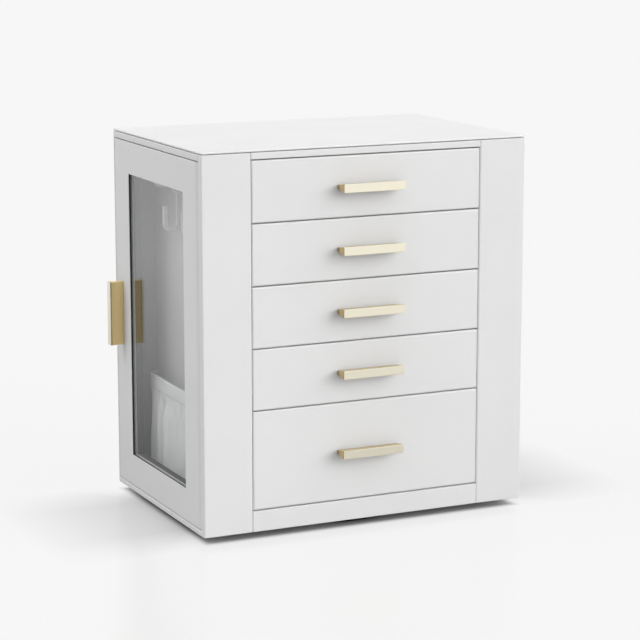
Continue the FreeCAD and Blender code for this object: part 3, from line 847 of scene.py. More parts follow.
def points(places, axis=(0, 0, 1)):
    """Loose points for a tree to set copies on, all with the same axis."""
    shape = bmesh.new()
    layer = shape.verts.layers.float_vector.new("axis")
    for place in places:
        shape.verts.new(place)[layer] = axis
    return shape


def screws(places, axis, shank):
    sizes = settings("metal")
    return grown(screw_tree(), points(places, axis), "steel", Head_Radius=sizes.screw_head,
                 Head_Height=sizes.screw_rise, Shank_Radius=sizes.screw_shank, Shank_Length=shank)


# Body

class ORGANIZER_OT_boards(Operator):
    """Makes the leather boards of the body"""
    bl_idname = "organizer.boards"
    bl_label = "Body boards"

    def execute(self, context):
        sizes = settings("leather")
        low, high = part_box("top_panel")
        seam_top = (low + Vector((0, 0, sizes.seam))).z
        rim = wrapped_board(at(low, z=seam_top), high, sizes.edge, sizes.corner)
        inset = Vector((sizes.seam_depth, sizes.seam_depth, 0))
        foot = block(low + inset, at(high, z=seam_top + sizes.edge) - inset)
        piece("top_panel", added(rim, foot), "cabinet", "white_leather")
        top_board = tongued_board(*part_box("top_board"), sizes.edge)
        piece("top_board", top_board, "cabinet", "white_leather")
        piece("bottom_board", from_node("bottom_board"), "cabinet", "white_leather", crisp=CRISP)
        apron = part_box("front_apron")
        piece("front_apron", wrapped_board(*apron, sizes.edge), "cabinet", "white_leather")
        low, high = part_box("front_pillars")
        corners = (low, at(high, x=apron[0].x))
        left, right = pillar(*corners, sizes), mirrored(pillar(*corners, sizes))
        piece("front_pillars", added(left, right), "cabinet", "white_leather")
        low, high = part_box("back_panel")
        back = wrapped_board(low, high, sizes.edge, sizes.corner, lambda e: middle(e).y > high.y - MM)
        piece("back_panel", back, "cabinet", "white_leather")
        for node in ("bay_dividers", "drawer_shelves"):
            painted(node, "white_leather")
        return {"FINISHED"}


def pillar(low, high, sizes):
    """A front pillar, round at the body's corner and beside the drawers."""
    return wrapped_board(low, high, sizes.edge, sizes.front_edge,
                         lambda e: middle(e).y < low.y + MM)


def tongued_board(low, high, edge):
    """The board under the top panel: its tongue fills the space between the pillars."""
    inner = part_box("front_apron")[1].x
    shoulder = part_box("front_pillars")[1].y
    outline = [(low.x, high.y), (low.x, shoulder), (-inner, shoulder), (-inner, low.y),
               (inner, low.y), (inner, shoulder), (high.x, shoulder), (high.x, high.y)]
    return soften(raised(outline, low.z, high.z), edge)


# Drawers

def drawer_nodes(part):
    return [("drawer_%d" % number, "drawer_%d_%s" % (number, part))
            for number in range(1, DRAWERS + 1)]


class ORGANIZER_OT_drawer_fronts(Operator):
    """Makes the wrapped drawer fronts"""
    bl_idname = "organizer.drawer_fronts"
    bl_label = "Drawer fronts"

    def execute(self, context):
        sizes = settings("leather")
        for body, node in drawer_nodes("front"):
            low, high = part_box(node)
            shape = block(low, high)
            soften(shape, sizes.front_edge, lambda e: sharp(e) and middle(e).y < low.y + MM, 6)
            soften(shape, sizes.edge / 2)
            piece(node, shape, body, "white_leather")
        return {"FINISHED"}


class ORGANIZER_OT_drawer_trays(Operator):
    """Makes the drawer trays, leather outside and velvet inside"""
    bl_idname = "organizer.drawer_trays"
    bl_label = "Drawer trays"

    def execute(self, context):
        sizes = settings("lining")
        outer = settings("leather")
        for body, node in drawer_nodes("tray"):
            low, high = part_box(node)
            shape = block(low, high)
            soften(shape, outer.corner, lambda e: upright(e) and middle(e).y > high.y - MM, 5)
            top = max(shape.faces, key=lambda f: f.calc_center_median().z)
            bmesh.ops.inset_region(shape, faces=[top], thickness=sizes.tray_wall,
                                   use_even_offset=True)
            walls = bmesh.ops.inset_region(shape, faces=[top], thickness=0,
                                           depth=-(high.z - low.z - sizes.tray_floor))["faces"]
            for face in [top, *walls]:
                face.material_index = 1
            soften(shape, outer.edge)
            piece(node, shape, body, "white_leather", "velvet")
        return {"FINISHED"}


class ORGANIZER_OT_cell_inserts(Operator):
    """Makes the velvet inserts with cells"""
    bl_idname = "organizer.cell_inserts"
    bl_label = "Cell inserts"

    def execute(self, context):
        for number, (columns, rows) in CELLS.items():
            body = "drawer_%d" % number
            shape = cell_grid(*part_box(body + "_insert"), columns, rows, settings("lining"))
            piece(body + "_insert", shape, body, "velvet")
        return {"FINISHED"}


def lines(start, end, count, wall):
    """Where the walls between cells begin and end along one side."""
    cell = (end - start - (count + 1) * wall) / count
    marks = [start]
    for index in range(count):
        marks.append(start + wall + index * (cell + wall))
        marks.append(marks[-1] + cell)
    return marks + [end]


def cell_grid(low, high, columns, rows, sizes):
    """A padded grid of open cells with soft rims."""
    shape = bmesh.new()
    across = lines(low.x, high.x, columns, sizes.cell_wall)
    back = lines(low.y, high.y, rows, sizes.cell_wall)
    net = [[shape.verts.new((x, y, high.z)) for y in back] for x in across]
    cells = []
    for i in range(len(across) - 1):
        for j in range(len(back) - 1):
            face = shape.faces.new((net[i][j], net[i + 1][j], net[i + 1][j + 1], net[i][j + 1]))
            if i % 2 and j % 2:
                cells.append(face)
    border = [edge for edge in shape.edges if edge.is_boundary]
    sides = bmesh.ops.extrude_edge_only(shape, edges=border)["geom"]
    rim = [part for part in sides if isinstance(part, bmesh.types.BMVert)]
    bmesh.ops.translate(shape, verts=rim, vec=(0, 0, low.z - high.z))
    bmesh.ops.edgeloop_fill(shape, edges=[edge for edge in shape.edges if edge.is_boundary])
    bmesh.ops.recalc_face_normals(shape, faces=shape.faces)
    depth = high.z - low.z - sizes.cell_floor
    for cell in cells:
        bmesh.ops.inset_region(shape, faces=[cell], thickness=0, depth=-depth)
    return soften(shape, sizes.rim, segments=4)


class ORGANIZER_OT_ring_rolls(Operator):
    """Makes the padded ring rolls of the top drawer"""
    bl_idname = "organizer.ring_rolls"
    bl_label = "Ring rolls"

    def execute(self, context):
        sizes = settings("lining")
        low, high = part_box("drawer_1_insert")
        base_top = low.z + sizes.roll_base
        count = int((high.y - low.y) // sizes.roll_pitch)
        pitch = (high.y - low.y) / count
        roll = puffed_roll(high.x - low.x, sizes.roll_radius)
        first = Matrix.Translation((0, low.y + pitch / 2, base_top))
        rolls = grown(row_tree(), moved(roll, first), "velvet", Count=count, Pitch=pitch)
        base = wrapped_board(low, at(high, z=base_top), sizes.rim)
        made = piece("drawer_1_insert", added(rolls, base), "drawer_1", "velvet")
        return {"FINISHED"}


def puffed_roll(long, radius):
    """A foam roll in its cover, puffed a little by a short cloth run, with its middle at the origin."""
    shape = bmesh.new()
    lying = Matrix.Rotation(math.pi / 2, 4, "Y")
    bmesh.ops.create_cone(shape, cap_ends=True, segments=36, radius1=radius - ROLL_SLACK,
                          radius2=radius - ROLL_SLACK, depth=long - 2 * ROLL_SLACK, matrix=lying)
    soften(shape, 0.35 * radius, segments=4)
    even = reworked(shape, "REMESH", mode="VOXEL", voxel_size=ROLL_MESH)
    even = puffed(even, ROLL_SLACK, radius)
    return reworked(even, "SUBSURF", levels=1, render_levels=1)


def reworked(shape, kind, **values):
    """The shape after one modifier."""
    made = plain_object("part", shape)
    modifier = made.modifiers.new("Modifier", kind)
    for name, value in values.items():
        setattr(modifier, name, value)
    return settled(made)


def puffed(shape, most, radius):
    """The shape after a short run as cloth under pressure. No point moves further than `most`."""
    start = [vert.co.copy() for vert in shape.verts]
    made = plain_object("cloth", shape)
    glued = made.vertex_groups.new(name="glued")
    glued.add([v.index for v in made.data.vertices if v.co.z < -0.6 * radius], 1.0, "REPLACE")
    cloth = made.modifiers.new("Cloth", "CLOTH").settings
    for name, value in CLOTH.items():
        setattr(cloth, name, value)
    cloth.effector_weights.gravity = 0
    scene = bpy.context.scene
    for moment in range(1, CLOTH_FRAMES + 1):
        scene.frame_set(moment)
    graph = bpy.context.evaluated_depsgraph_get()
    result = made.evaluated_get(graph).data
    moves = [vert.co - was for vert, was in zip(result.vertices, start)]
    scene.frame_set(1)
    made.modifiers.clear()
    for vert, was, move in zip(made.data.vertices, start, moves):
        if move.length > most:
            move = move.normalized() * most
        vert.co = was + move
    return settled(made)


# Handles and screws

def bar(long, reach, sizes):
    """A bar on the plane Y = 0 that runs along X and flares towards its face at -Y."""
    base = sizes.handle_base / 2
    face = sizes.handle_face / 2
    section = [(0, -base), (-reach, -face), (-reach, face), (0, base)]
    shape = raised(section, -long / 2, long / 2)
    lying = Matrix(((0, 0, 1, 0), (1, 0, 0, 0), (0, 1, 0, 0), (0, 0, 0, 1)))
    return soften(moved(shape, lying), sizes.handle_edge, segments=4)


class ORGANIZER_OT_handles(Operator):
    """Makes the brass bar handles"""
    bl_idname = "organizer.handles"
    bl_label = "Handles"

    def execute(self, context):
        sizes = settings("metal")
        for body, node in drawer_nodes("handle"):
            low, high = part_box(node)
            shape = bar(high.x - low.x, high.y - low.y, sizes)
            place = Matrix.Translation((0, high.y, centre(node).z))
            piece(node, moved(shape, place), body, "gold_metal")
        upright_bar = Matrix.Rotation(math.pi / 2, 4, "Y")
        for side in SIDES:
            node = "door_%s_handle" % side
            low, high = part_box(node)
            sign, foot = (1, low.x) if side == "right" else (-1, high.x)
            shape = bar(high.z - low.z, high.x - low.x, sizes)
            outwards = Matrix.Rotation(sign * math.pi / 2, 4, "Z") @ upright_bar
            place = Matrix.Translation(at(centre(node), x=foot))
            piece(node, moved(shape, place @ outwards), "door_" + side, "gold_metal/upright")
        return {"FINISHED"}


class ORGANIZER_OT_screws(Operator):
    """Makes the screws of the handles and of the swivel"""
    bl_idname = "organizer.screws"
    bl_label = "Screws"

    def execute(self, context):
        sizes = settings("metal")
        for body, node in drawer_nodes("screws"):
            low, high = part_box(node)
            seat = high.y - sizes.screw_rise
            ends = (low.x + sizes.screw_head, high.x - sizes.screw_head)
            places = [(x, seat, centre(node).z) for x in ends]
            piece(node, screws(places, (0, 1, 0), seat - low.y), body, "steel", crisp=CRISP)
        low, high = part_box("bearing_screws")
        seat = high.z - sizes.screw_rise
        reach = high.x - sizes.screw_head
        places = [(x, y, seat) for x in (-reach, reach) for y in (-reach, reach)]
        piece("bearing_screws", screws(places, (0, 0, 1), seat - low.z), "cabinet", "steel",
              crisp=CRISP)
        return {"FINISHED"}


# Side doors

class ORGANIZER_OT_doors(Operator):
    """Makes the glazed side doors"""
    bl_idname = "organizer.doors"
    bl_label = "Side doors"

    def execute(self, context):
        for side in SIDES:
            body = "door_" + side
            bead, pins = body + "_bead", body + "_pivot_pins"
            piece(body + "_frame", sided(door_frame(), side), body, "white_leather")
            piece(bead, from_node(bead), body, "velvet/bead", crisp=CRISP)
            piece(body + "_fittings", sided(door_fittings(), side), body, "steel", crisp=CRISP)
            piece(pins, from_node(pins), body, "steel", crisp=CRISP)
            painted(body + "_seal", "black_seal")
            painted(body + "_glass", "clear_glass")
        return {"FINISHED"}


def through_door(box, start, end):
    """A block between two places in the door's thickness, as wide and tall as a box."""
    return block(at(box[0], x=start), at(box[1], x=end))


def grown_box(low, high, margin):
    """The box widened by a margin in Y and Z."""
    widening = Vector((0, margin, margin))
    return low - widening, high + widening


def door_frame():
    """The left door: a slab with a round edge to turn on, a window, and seats for its fittings."""
    sizes = settings("door")
    metal = settings("metal")
    low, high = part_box("door_left_frame")
    nose = (high.x - low.x) / 2
    outline = [(low.x, high.y), *arc(low.x + nose, low.y + nose, nose, 180, 360), (high.x, high.y)]
    slab = raised(outline, low.z, high.z)
    soften(slab, settings("leather").edge,
           lambda e: sharp(e) and (not upright(e) or middle(e).y > high.y - MM), 4)

    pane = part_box("door_left_glass")
    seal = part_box("door_left_seal")
    window = grown_box(*pane, -sizes.rebate)
    rebate = grown_box(*pane, sizes.pane_gap)
    inner = high.x + MM
    cutters = [through_door(window, low.x - MM, inner), through_door(seal, seal[0].x, inner),
               through_door(rebate, rebate[0].x, inner)]
    head_seat = (metal.screw_head + sizes.seat_gap, metal.screw_rise + MM)
    for y, z in door_screws():
        cutters.append(moved(rod(*head_seat), facing_in(inner, y, z)))
    strike_seat = rod(sizes.strike, sizes.strike_seat + MM)
    cutters.append(moved(strike_seat, facing_in(inner, *strike_place())))
    shape = flattened(carved(slab, *cutters))
    near = 1e-5

    def window_rim(edge):
        spot = middle(edge)
        inside = all(window[0][axis] - near < spot[axis] < window[1][axis] + near for axis in (1, 2))
        return sharp(edge) and spot.x < low.x + near and inside

    return soften(shape, sizes.window_edge, window_rim)


def door_screws():
    """Where the left handle's two screws are, as (y, z)."""
    low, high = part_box("door_left_fittings")
    head = settings("metal").screw_head
    return [(centre("door_left_handle").y, z) for z in (low.z + head, high.z - head)]


def strike_place():
    """Where the left door's strike plate is, as (y, z)."""
    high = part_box("door_left_fittings")[1]
    return high.y - settings("door").strike, centre("door_left_fittings").z


def arc(x, y, radius, start, end, steps=24):
    turns = [math.radians(start + (end - start) * step / steps) for step in range(steps + 1)]
    return [(x + radius * math.cos(turn), y + radius * math.sin(turn)) for turn in turns]


def rod(radius, long):
    """A round bar whose top is at the origin and which points down."""
    shape = bmesh.new()
    bmesh.ops.create_cone(shape, cap_ends=True, segments=32, radius1=radius, radius2=radius,
                          depth=long, matrix=Matrix.Translation((0, 0, -long / 2)))
    return shape


def facing_in(x, y, z):
    """Turns what points down so that it points at -X, and puts it in its place."""
    return Matrix.Translation((x, y, z)) @ Matrix.Rotation(math.pi / 2, 4, "Y")


def door_fittings():
    """The screws behind the left door's handle and the strike plate of its catch."""
    low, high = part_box("door_left_fittings")
    seat = high.x - settings("metal").screw_rise
    shape = screws([(seat, y, z) for y, z in door_screws()], (1, 0, 0), seat - low.x)
    door = settings("door")
    plate = soften(rod(door.strike, door.strike_rise), 0.15 * door.strike_rise)
    return added(shape, moved(plate, facing_in(high.x, *strike_place())))


# Side compartments

class ORGANIZER_OT_compartments(Operator):
    """Makes the velvet linings of the side compartments and their catch magnets"""
    bl_idname = "organizer.compartments"
    bl_label = "Side compartments"

    def execute(self, context):
        for side in SIDES:
            # the wall behind the hooks takes the paler velvet copy, which is painted light
            piece("compartment_liner_" + side, sided(lining(), side), "cabinet", "velvet",
                  "velvet/pale")
        piece("door_magnets", from_node("door_magnets"), "cabinet", "steel", crisp=CRISP)
        return {"FINISHED"}


def lining():
    """Five velvet panels of the left compartment: wall, floor, ceiling and the two ends."""
    sizes = settings("lining")
    low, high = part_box("compartment_liner_left")
    wall = high.x - sizes.wall_panel
    floor = low.z + sizes.wall_panel
    ceiling = high.z - sizes.wall_panel
    behind_hooks = block(at(low, x=wall), high)
    # painted light: the wall behind the hooks gets the paler velvet copy
    for face in behind_hooks.faces:
        face.material_index = 1
    panels = [
        behind_hooks,
        block(low, at(high, x=wall, z=floor)),
        block(at(low, z=ceiling), at(high, x=wall)),
        block(at(low, z=floor), at(high, x=wall, y=low.y + sizes.front_panel, z=ceiling)),
        block(at(low, y=high.y - sizes.rear_panel, z=floor), at(high, x=wall, z=ceiling)),
    ]
    edge = settings("leather").edge / 2
    return added(*(soften(panel, edge) for panel in panels))


class ORGANIZER_OT_hook_racks(Operator):
    """Makes the moulded hook racks"""
    bl_idname = "organizer.hook_racks"
    bl_label = "Hook racks"

    def execute(self, context):
        for side in SIDES:
            piece("hook_rack_" + side, sided(hook_rack(), side), "cabinet", "hook_plastic", crisp=40)
        return {"FINISHED"}


def hook_rack():
    """The left rack: a bar on the wall with short and long hooks by turns."""
    sizes = settings("hooks")
    low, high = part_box("hook_rack_left")
    rack = block(at(low, x=high.x - sizes.strap, z=high.z - sizes.rack_height), high)
    soften(rack, 0.28 * sizes.rack_height, lambda e: runs_along(e, 0), 6)
    soften(rack, 0.3 * sizes.strap)
    tree = hook_tree()
    long_drop = high.z - low.z
    for kind, drop in enumerate((long_drop, long_drop - sizes.short_rise)):
        places = [(high.x - sizes.strap / 2, (index - (sizes.count - 1) / 2) * sizes.spacing,
                   high.z - sizes.strap) for index in range(kind, sizes.count, 2)]
        hooks = grown(tree, points(places), "hook_plastic", Drop=drop - 1.5 * sizes.strap,
                      Reach=sizes.reach - sizes.strap, Lip=sizes.lip - sizes.strap / 2,
                      Corner=sizes.corner, Width=sizes.width, Strap=sizes.strap)
        added(rack, hooks)
    return rack


# Pouches

class ORGANIZER_OT_pouches(Operator):
    """Makes the gathered pouches with their hems and stitches"""
    bl_idname = "organizer.pouches"
    bl_label = "Pouches"

    def execute(self, context):
        for side in SIDES:
            node = "pouch_" + side
            shape, flat = gathered_cloth()
            cloth = reworked(shape, "SOLIDIFY", thickness=settings("pouch").cloth, offset=-1.0)
            panel = piece(node, sided(cloth, side), "cabinet", "pouch_fabric")
            hem = piece(node + "_hem", sided(hem_band(), side), "cabinet", "pouch_fabric")
            stitches = piece(node + "_stitches", sided(hem_stitches(), side), "cabinet",
                             "pouch_fabric/thread")
        return {"FINISHED"}


def smooth(value, start, end):
    """0 before start, 1 after end, and an even curve between them."""
    share_in = min(max((value - start) / (end - start), 0.0), 1.0)
    return share_in * share_in * (3 - 2 * share_in)


def pouch_bulge(along, up, low, high):
    """How far the cloth stands off the wall: along runs from end to end, up from floor to hem."""
    edge = min(along, 1 - along) * (high.y - low.y)
    drawn_in = smooth(up, 0.45, 0.90)
    # The cloth turns in at both ends, more tightly where the hem draws it in.
    corner = 1 - math.exp(-edge / ((4.5 - 2.3 * drawn_in) * MM))
    belly = math.sin(math.pi * min(max(along, 0), 1)) ** 0.85
    foot = 0.35 + 0.65 * smooth(up, -0.02, 0.18)
    # Both are shares of the pouch's depth, and the middle stands out more than the ends.
    at_hem = 0.52 + 0.15 * belly
    below = 0.60 + 0.12 * belly
    return (at_hem * drawn_in + below * (1 - drawn_in)) * corner * foot * (high.x - low.x)


def pleat(along, up, sizes, hem_line, span):
    """Wide folds that open downwards, steep on one flank, and fine gathers under the hem."""
    # The noise reads another place for each effect, so that they wander apart.
    drift = 0.55 * noise.noise(Vector((along * 2.6, 0.4, 2.0)))
    sway = 0.16 * noise.noise(Vector((along * 4.0, up * 2.2, 7.0)))
    phase = math.tau * (sizes.pleats * along + drift + sway + 0.30)
    strength = 0.85 + 0.5 * noise.noise(Vector((along * 7.0, up * 0.8, 4.0)))
    opening = 1 - smooth(up, hem_line - 0.22, hem_line)
    ends = min(1.0, min(along, 1 - along) / 0.04)
    wide = math.sin(phase - 0.6 * math.sin(phase)) * opening
    gathers = math.tau * (1.9 * sizes.pleats * along + 1.5 * noise.noise(Vector((along * 9, 1.0, up))))
    reach = smooth(up, hem_line - 0.55, hem_line - 0.06) * (1 - smooth(up, hem_line, hem_line + 0.02))
    fine = math.sin(gathers) * (0.6 + noise.noise(Vector((along * 31, 3.0, up * 1.7)))) * reach
    below_hem = 1 - smooth(up, hem_line - 0.05, hem_line)
    crease = noise.noise(Vector((along * 26 + up * 3, up * 7.0, 9.0))) * below_hem
    inward = (along - sizes.fold + 0.03 * (up - 0.5)) * span / sizes.fold_width
    valley = smooth(inward, 0, 0.14) * (1 - smooth(inward, 0.3, 1.0))
    deep = sizes.fold_depth * valley * (1 - smooth(up, 0.45, hem_line))
    return ends * (sizes.pleat_depth * strength * wide + sizes.gather_depth * (fine + 0.55 * crease) - deep)


def pouch_place(along, up, out, low, high):
    """The point of the cloth that stands off the wall by `out`."""
    margin = settings("pouch").margin
    y = low.y + margin + along * (high.y - low.y - 2 * margin)
    z = low.z + margin / 2 + up * (high.z - low.z - 1.5 * margin)
    return Vector((high.x - out, y, z))


def gathered_cloth():
    """The left pouch's front panel as an open sheet with its own map in metres, and its flat size."""
    sizes = settings("pouch")
    low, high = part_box("pouch_left")
    hem_line = 1 - hem_share()
    columns, rows = 260, 72
    most = high.x - low.x - 1.2 * sizes.cloth
    shape = bmesh.new()
    cloth = shape.loops.layers.uv.new("cloth")
    net = []
    for i in range(columns + 1):
        along = i / columns
        line = []
        for j in range(rows + 1):
            up = j / rows
            out = pouch_bulge(along, up, low, high) + pleat(along, up, sizes, hem_line, high.y - low.y)
            out = min(max(out, 0.7 * sizes.cloth), most)
            line.append(shape.verts.new(pouch_place(along, up, out, low, high)))
        net.append(line)
    tall = sum((a.co - b.co).length for line in net for a, b in zip(line, line[1:])) / len(net)
    corners = {}
    for i in range(columns):
        for j in range(rows):
            square = ((i, j), (i, j + 1), (i + 1, j + 1), (i + 1, j))
            corners[shape.faces.new([net[a][b] for a, b in square])] = square
    wide = sum(face.calc_area() for face in corners) / tall
    for face, square in corners.items():
        for loop, (a, b) in zip(face.loops, square):
            loop[cloth].uv = (a / columns * wide, b / rows * tall)
    return shape, (wide, tall)


def along_hem(up, proud):
    """Points along the pouch at one height, standing proud of the cloth's plain bulge."""
    low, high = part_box("pouch_left")
    places = []
    for along in (step / HEM_STEPS for step in range(HEM_STEPS + 1)):
        out = min(pouch_bulge(along, up, low, high) + proud, high.x - low.x)
        places.append(pouch_place(along, up, out, low, high))
    return places


def hem_share():
    """The hem's height as a share of the pouch's."""
    low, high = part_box("pouch_left")
    return settings("pouch").hem / (high.z - low.z)


def hem_band():
    """The folded band at the pouch's top, plump along its two edges."""
    sizes = settings("pouch")
    low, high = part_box("pouch_left")
    band = hem_share()
    steps = 14
    section = [(1 - band + band * step / steps,
                (1.1 + 0.7 * math.sin(math.pi * step / steps) ** 0.5) * sizes.cloth)
               for step in range(steps + 1)]
    outer = [along_hem(up, proud) for up, proud in section]
    inner = [along_hem(up, proud - 3 * sizes.cloth) for up, proud in reversed(section)]
    shape = bmesh.new()
    cloth = shape.loops.layers.uv.new("cloth")
    net = [[shape.verts.new(place) for place in line] for line in outer + inner]
    count = len(net)
    for a in range(count):
        b = (a + 1) % count
        for i in range(HEM_STEPS):
            face = shape.faces.new((net[a][i], net[b][i], net[b][i + 1], net[a][i + 1]))
            for loop, (r, c) in zip(face.loops, ((a, i), (a + 1, i), (a + 1, i + 1), (a, i + 1))):
                loop[cloth].uv = (c / HEM_STEPS * (high.y - low.y), r / count * 2.2 * sizes.hem)
    for end in (0, -1):
        shape.faces.new([line[end] for line in net])
    bmesh.ops.recalc_face_normals(shape, faces=shape.faces)
    return shape


def hem_stitches():
    """Two rows of stitches, along the lower and the upper edge of the hem."""
    sizes = settings("pouch")
    tree = stitch_tree()
    rows = []
    for up in (1 - hem_share() * 0.88, 1 - hem_share() * 0.16):
        line = bmesh.new()
        places = [line.verts.new(place) for place in along_hem(up, 1.9 * sizes.cloth)[4:-4]]
        for pair in zip(places[:-1], places[1:]):
            line.edges.new(pair)
        rows.append(grown(tree, line, "pouch_fabric/thread", Stitch=sizes.stitch,
                          Gap=sizes.stitch * 0.45, Thread=sizes.thread))
    return added(*rows)


# Swivel

class ORGANIZER_OT_swivel(Operator):
    """Makes the base, the ball ring, the bearing plate and the rivet"""
    bl_idname = "organizer.swivel"
    bl_label = "Swivel"

    def execute(self, context):
        sizes = settings("metal")
        low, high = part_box("bearing_balls")
        ball = (high.z - low.z) / 2
        balls = grown(ball_tree(), bmesh.new(), "steel", Circle_Radius=high.x - ball,
                      Ball_Radius=ball, Height=(low.z + high.z) / 2, Balls=sizes.ball_count)
        piece("bearing_balls", balls, "swivel_base", "steel")
        for node, body, slot in (("base_disc", "swivel_base", "black_plastic"),
                                 ("base_pad", "swivel_base", "black_pad"),
                                 ("bearing_plate", "cabinet", "steel")):
            piece(node, from_node(node), body, slot, crisp=30)
        piece("centre_rivet", turned(rivet_profile(sizes), 48), "swivel_base", "steel", crisp=40)
        return {"FINISHED"}


def rivet_profile(sizes):
    """Half the rivet's outline as (radius, height): a shank with a domed head at each end."""
    low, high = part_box("centre_rivet")
    rise = sizes.rivet_head
    dome = [(high.x * math.sin(turn), rise * (1 - math.cos(turn)))
            for turn in (math.radians(10 * step) for step in range(10))]
    return [*((radius, low.z + height) for radius, height in dome),
            (sizes.rivet_shank, low.z + rise), (sizes.rivet_shank, high.z - rise),
            *((radius, high.z - height) for radius, height in reversed(dome))]


# Stage

class ORGANIZER_OT_stage(Operator):
    """Sets the floor, the light and the camera"""
    bl_idname = "organizer.stage"
    bl_label = "Stage"

    def execute(self, context):
        scene = context.scene
        sizes = settings("stage")
        scene.view_settings.view_transform = "Standard"
        scene.world = sky(sizes)
        shape = bmesh.new()
        below_base = Matrix.Translation((0, 0, -0.1 * MM))
        bmesh.ops.create_circle(shape, cap_ends=True, segments=96, radius=FLOOR_RADIUS,
                                matrix=below_base)
        floor = plain_object("Floor", shape)
        floor.data.materials.append(floor_finish(sizes))
        # The floor turns with the body on the swivel, so that the shade painted on it follows.
        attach(floor, "cabinet")
        scene.camera = camera(sizes)
        scene.collection.objects.link(scene.camera)
        return {"FINISHED"}


def sky(sizes):
    """Light from all round with two large soft lamps in it. To the camera, in mirrors and through
    panes the background is plain white."""
    world = bpy.data.worlds.new("Studio")
    world.use_nodes = True
    nodes = Nodes(world.node_tree)
    background = world.node_tree.nodes["Background"]
    background.inputs["Color"].default_value = (1, 1, 1, 1)
    towards = nodes.add("ShaderNodeTexCoord").outputs["Generated"]
    light = soft_lamp(nodes, towards, sizes.key, sizes.key_turn, sizes.key_rise, sizes.key_size)
    fill = soft_lamp(nodes, towards, sizes.fill, sizes.fill_turn, sizes.fill_rise, sizes.fill_size)
    light = nodes.math("ADD", nodes.math("ADD", light, fill), sizes.sky)
    path = nodes.add("ShaderNodeLightPath").outputs
    seen = nodes.math("ADD", path["Is Camera Ray"], path["Is Glossy Ray"])
    seen = nodes.math("MINIMUM", nodes.math("ADD", seen, path["Is Transmission Ray"]), 1.0)
    strength = nodes.out("ShaderNodeMix", {"Factor": seen, "A": light, "B": sizes.white})
    nodes.tree.links.new(strength, background.inputs["Strength"])
    return world


def soft_lamp(nodes, towards, strength, turn, rise, size):
    """Brightness of a round lamp far away that fades from its middle to its edge."""
    middle_of_lamp = (math.sin(turn) * math.cos(rise), -math.cos(turn) * math.cos(rise), math.sin(rise))
    nearness = nodes.add("ShaderNodeVectorMath", {0: towards, 1: middle_of_lamp},
                         operation="DOT_PRODUCT").outputs["Value"]
    off_lamp = nodes.math("ARCCOSINE", nodes.math("MINIMUM", nearness, 1.0))
    return nodes.between(off_lamp, 0.0, strength, size, 0.1, interpolation_type="SMOOTHSTEP")


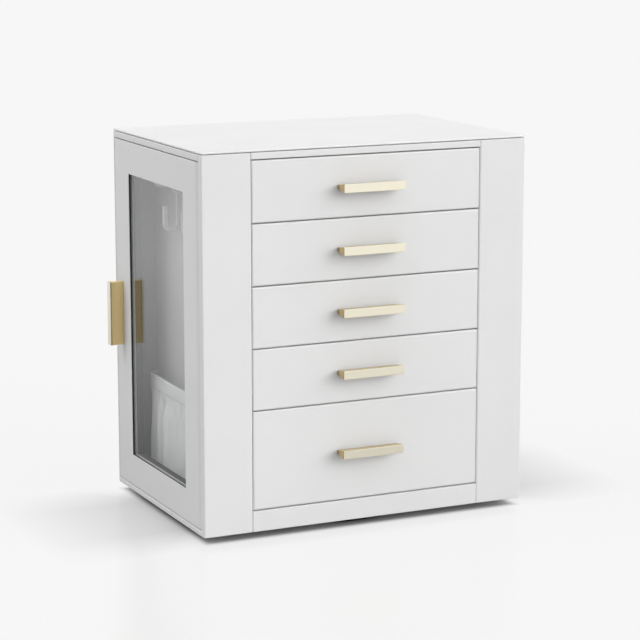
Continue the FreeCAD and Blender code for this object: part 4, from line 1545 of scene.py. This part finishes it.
def floor_finish(sizes):
    """The floor runs into the background, with a faint gloss. It is shaded under and beside the
    body, and duller where it throws light on the body or shows in its mirrors."""
    look = Finish("Studio floor")
    look.tree.nodes.remove(look.shader)
    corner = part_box("top_panel")[1]
    corner_blend = 40 * MM                          # where the side's shade takes over from the front's
    side_width = 4 * MM                             # of the dark line along a side's lower edge
    front_start, front_end = -50 * MM, 10 * MM      # where the soft shade fades towards the front
    beside, before = (look.math("SUBTRACT", look.off_middle(axis), corner[axis]) for axis in (0, 1))
    own = look.between(look.math("MAXIMUM", beside, before), 0.0, sizes.glow, -sizes.glow_start,
                       sizes.glow_end, interpolation_type="SMOOTHSTEP")
    under = look.between(own, 1 - sizes.shade, 1.0, 0.0, sizes.glow)
    nearer_side = look.between(look.math("SUBTRACT", beside, before), 0.0, 1.0, 0.0, corner_blend)
    edge = look.between(beside, sizes.side_shade, 0.0, -sizes.side_start, side_width - sizes.side_start)
    under = look.times(under, look.one_less(look.times(nearer_side, edge)))
    aside = look.between(beside, sizes.wide_shade, 0.0, 0.0, sizes.wide_reach)
    behind_front = look.between(before, 1.0, 0.0, front_start, front_end)
    soft = look.one_less(look.times(aside, look.times(nearer_side, behind_front)))
    white = (sizes.white,) * 3
    lit = look.out("ShaderNodeBsdfDiffuse", {"Color": look.scaled(white, look.times(under, soft))})
    near_glow = look.out("ShaderNodeEmission", {"Color": look.scaled(white, soft)})
    gloss = look.out("ShaderNodeBsdfAnisotropic", {"Color": (1, 1, 1, 1), "Roughness": 0.2})
    shown = look.mixed(sizes.gloss, look.mixed(own, lit, near_glow), gloss)

    dull = look.out("ShaderNodeBsdfDiffuse", {"Color": (sizes.bounce,) * 3 + (1,)})
    glow = look.out("ShaderNodeEmission", {"Color": white + (1,)})
    far = look.add("ShaderNodeVectorMath", {0: look.place}, operation="LENGTH").outputs["Value"]
    mirrored_floor = look.mixed(look.between(far, 0.0, 1.0, sizes.dull_reach, sizes.white_reach),
                                dull, glow)
    path = look.add("ShaderNodeLightPath").outputs
    in_mirror = look.math("MAXIMUM", path["Is Glossy Ray"], path["Is Transmission Ray"])
    bounced = look.mixed(in_mirror, dull, mirrored_floor)
    look.show(look.mixed(path["Is Camera Ray"], bounced, shown))
    return look.material


def camera(sizes):
    data = bpy.data.cameras.new("Camera")
    data.lens = sizes.lens
    data.clip_end = 100
    ahead = Vector((math.sin(sizes.turn) * math.cos(sizes.rise),
                    math.cos(sizes.turn) * math.cos(sizes.rise), -math.sin(sizes.rise)))
    made = bpy.data.objects.new("Camera", data)
    made.location = Vector(sizes.aim) - ahead * sizes.distance
    made.rotation_euler = ahead.to_track_quat("-Z", "Y").to_euler()
    return made


OPERATORS = (
    ORGANIZER_OT_boards,
    ORGANIZER_OT_drawer_fronts,
    ORGANIZER_OT_drawer_trays,
    ORGANIZER_OT_cell_inserts,
    ORGANIZER_OT_ring_rolls,
    ORGANIZER_OT_handles,
    ORGANIZER_OT_screws,
    ORGANIZER_OT_doors,
    ORGANIZER_OT_compartments,
    ORGANIZER_OT_hook_racks,
    ORGANIZER_OT_pouches,
    ORGANIZER_OT_swivel,
    ORGANIZER_OT_stage,
)


class ORGANIZER_PT_sidebar(Panel):
    """Lists the organizer's pieces and their sizes"""
    bl_label = "Organizer"
    bl_idname = "ORGANIZER_PT_sidebar"
    bl_space_type = "VIEW_3D"
    bl_region_type = "UI"
    bl_category = "Organizer"

    def draw(self, context):
        for group, kind in GROUPS.items():
            box = self.layout.box()
            box.label(text=group.replace("_", " ").capitalize())
            for name in kind.__annotations__:
                box.prop(getattr(context.scene, group), name)
        for operator in OPERATORS:
            self.layout.operator(operator.bl_idname)


def register():
    for kind in (*GROUPS.values(), *OPERATORS, ORGANIZER_PT_sidebar):
        bpy.utils.register_class(kind)
    for group, kind in GROUPS.items():
        setattr(bpy.types.Scene, group, PointerProperty(type=kind))


def unregister():
    for group in GROUPS:
        delattr(bpy.types.Scene, group)
    for kind in reversed((*GROUPS.values(), *OPERATORS, ORGANIZER_PT_sidebar)):
        bpy.utils.unregister_class(kind)


def main():
    register()
    for operator in OPERATORS:
        getattr(bpy.ops.organizer, operator.bl_idname.split(".")[1])()


if __name__ == "__main__":
    main()
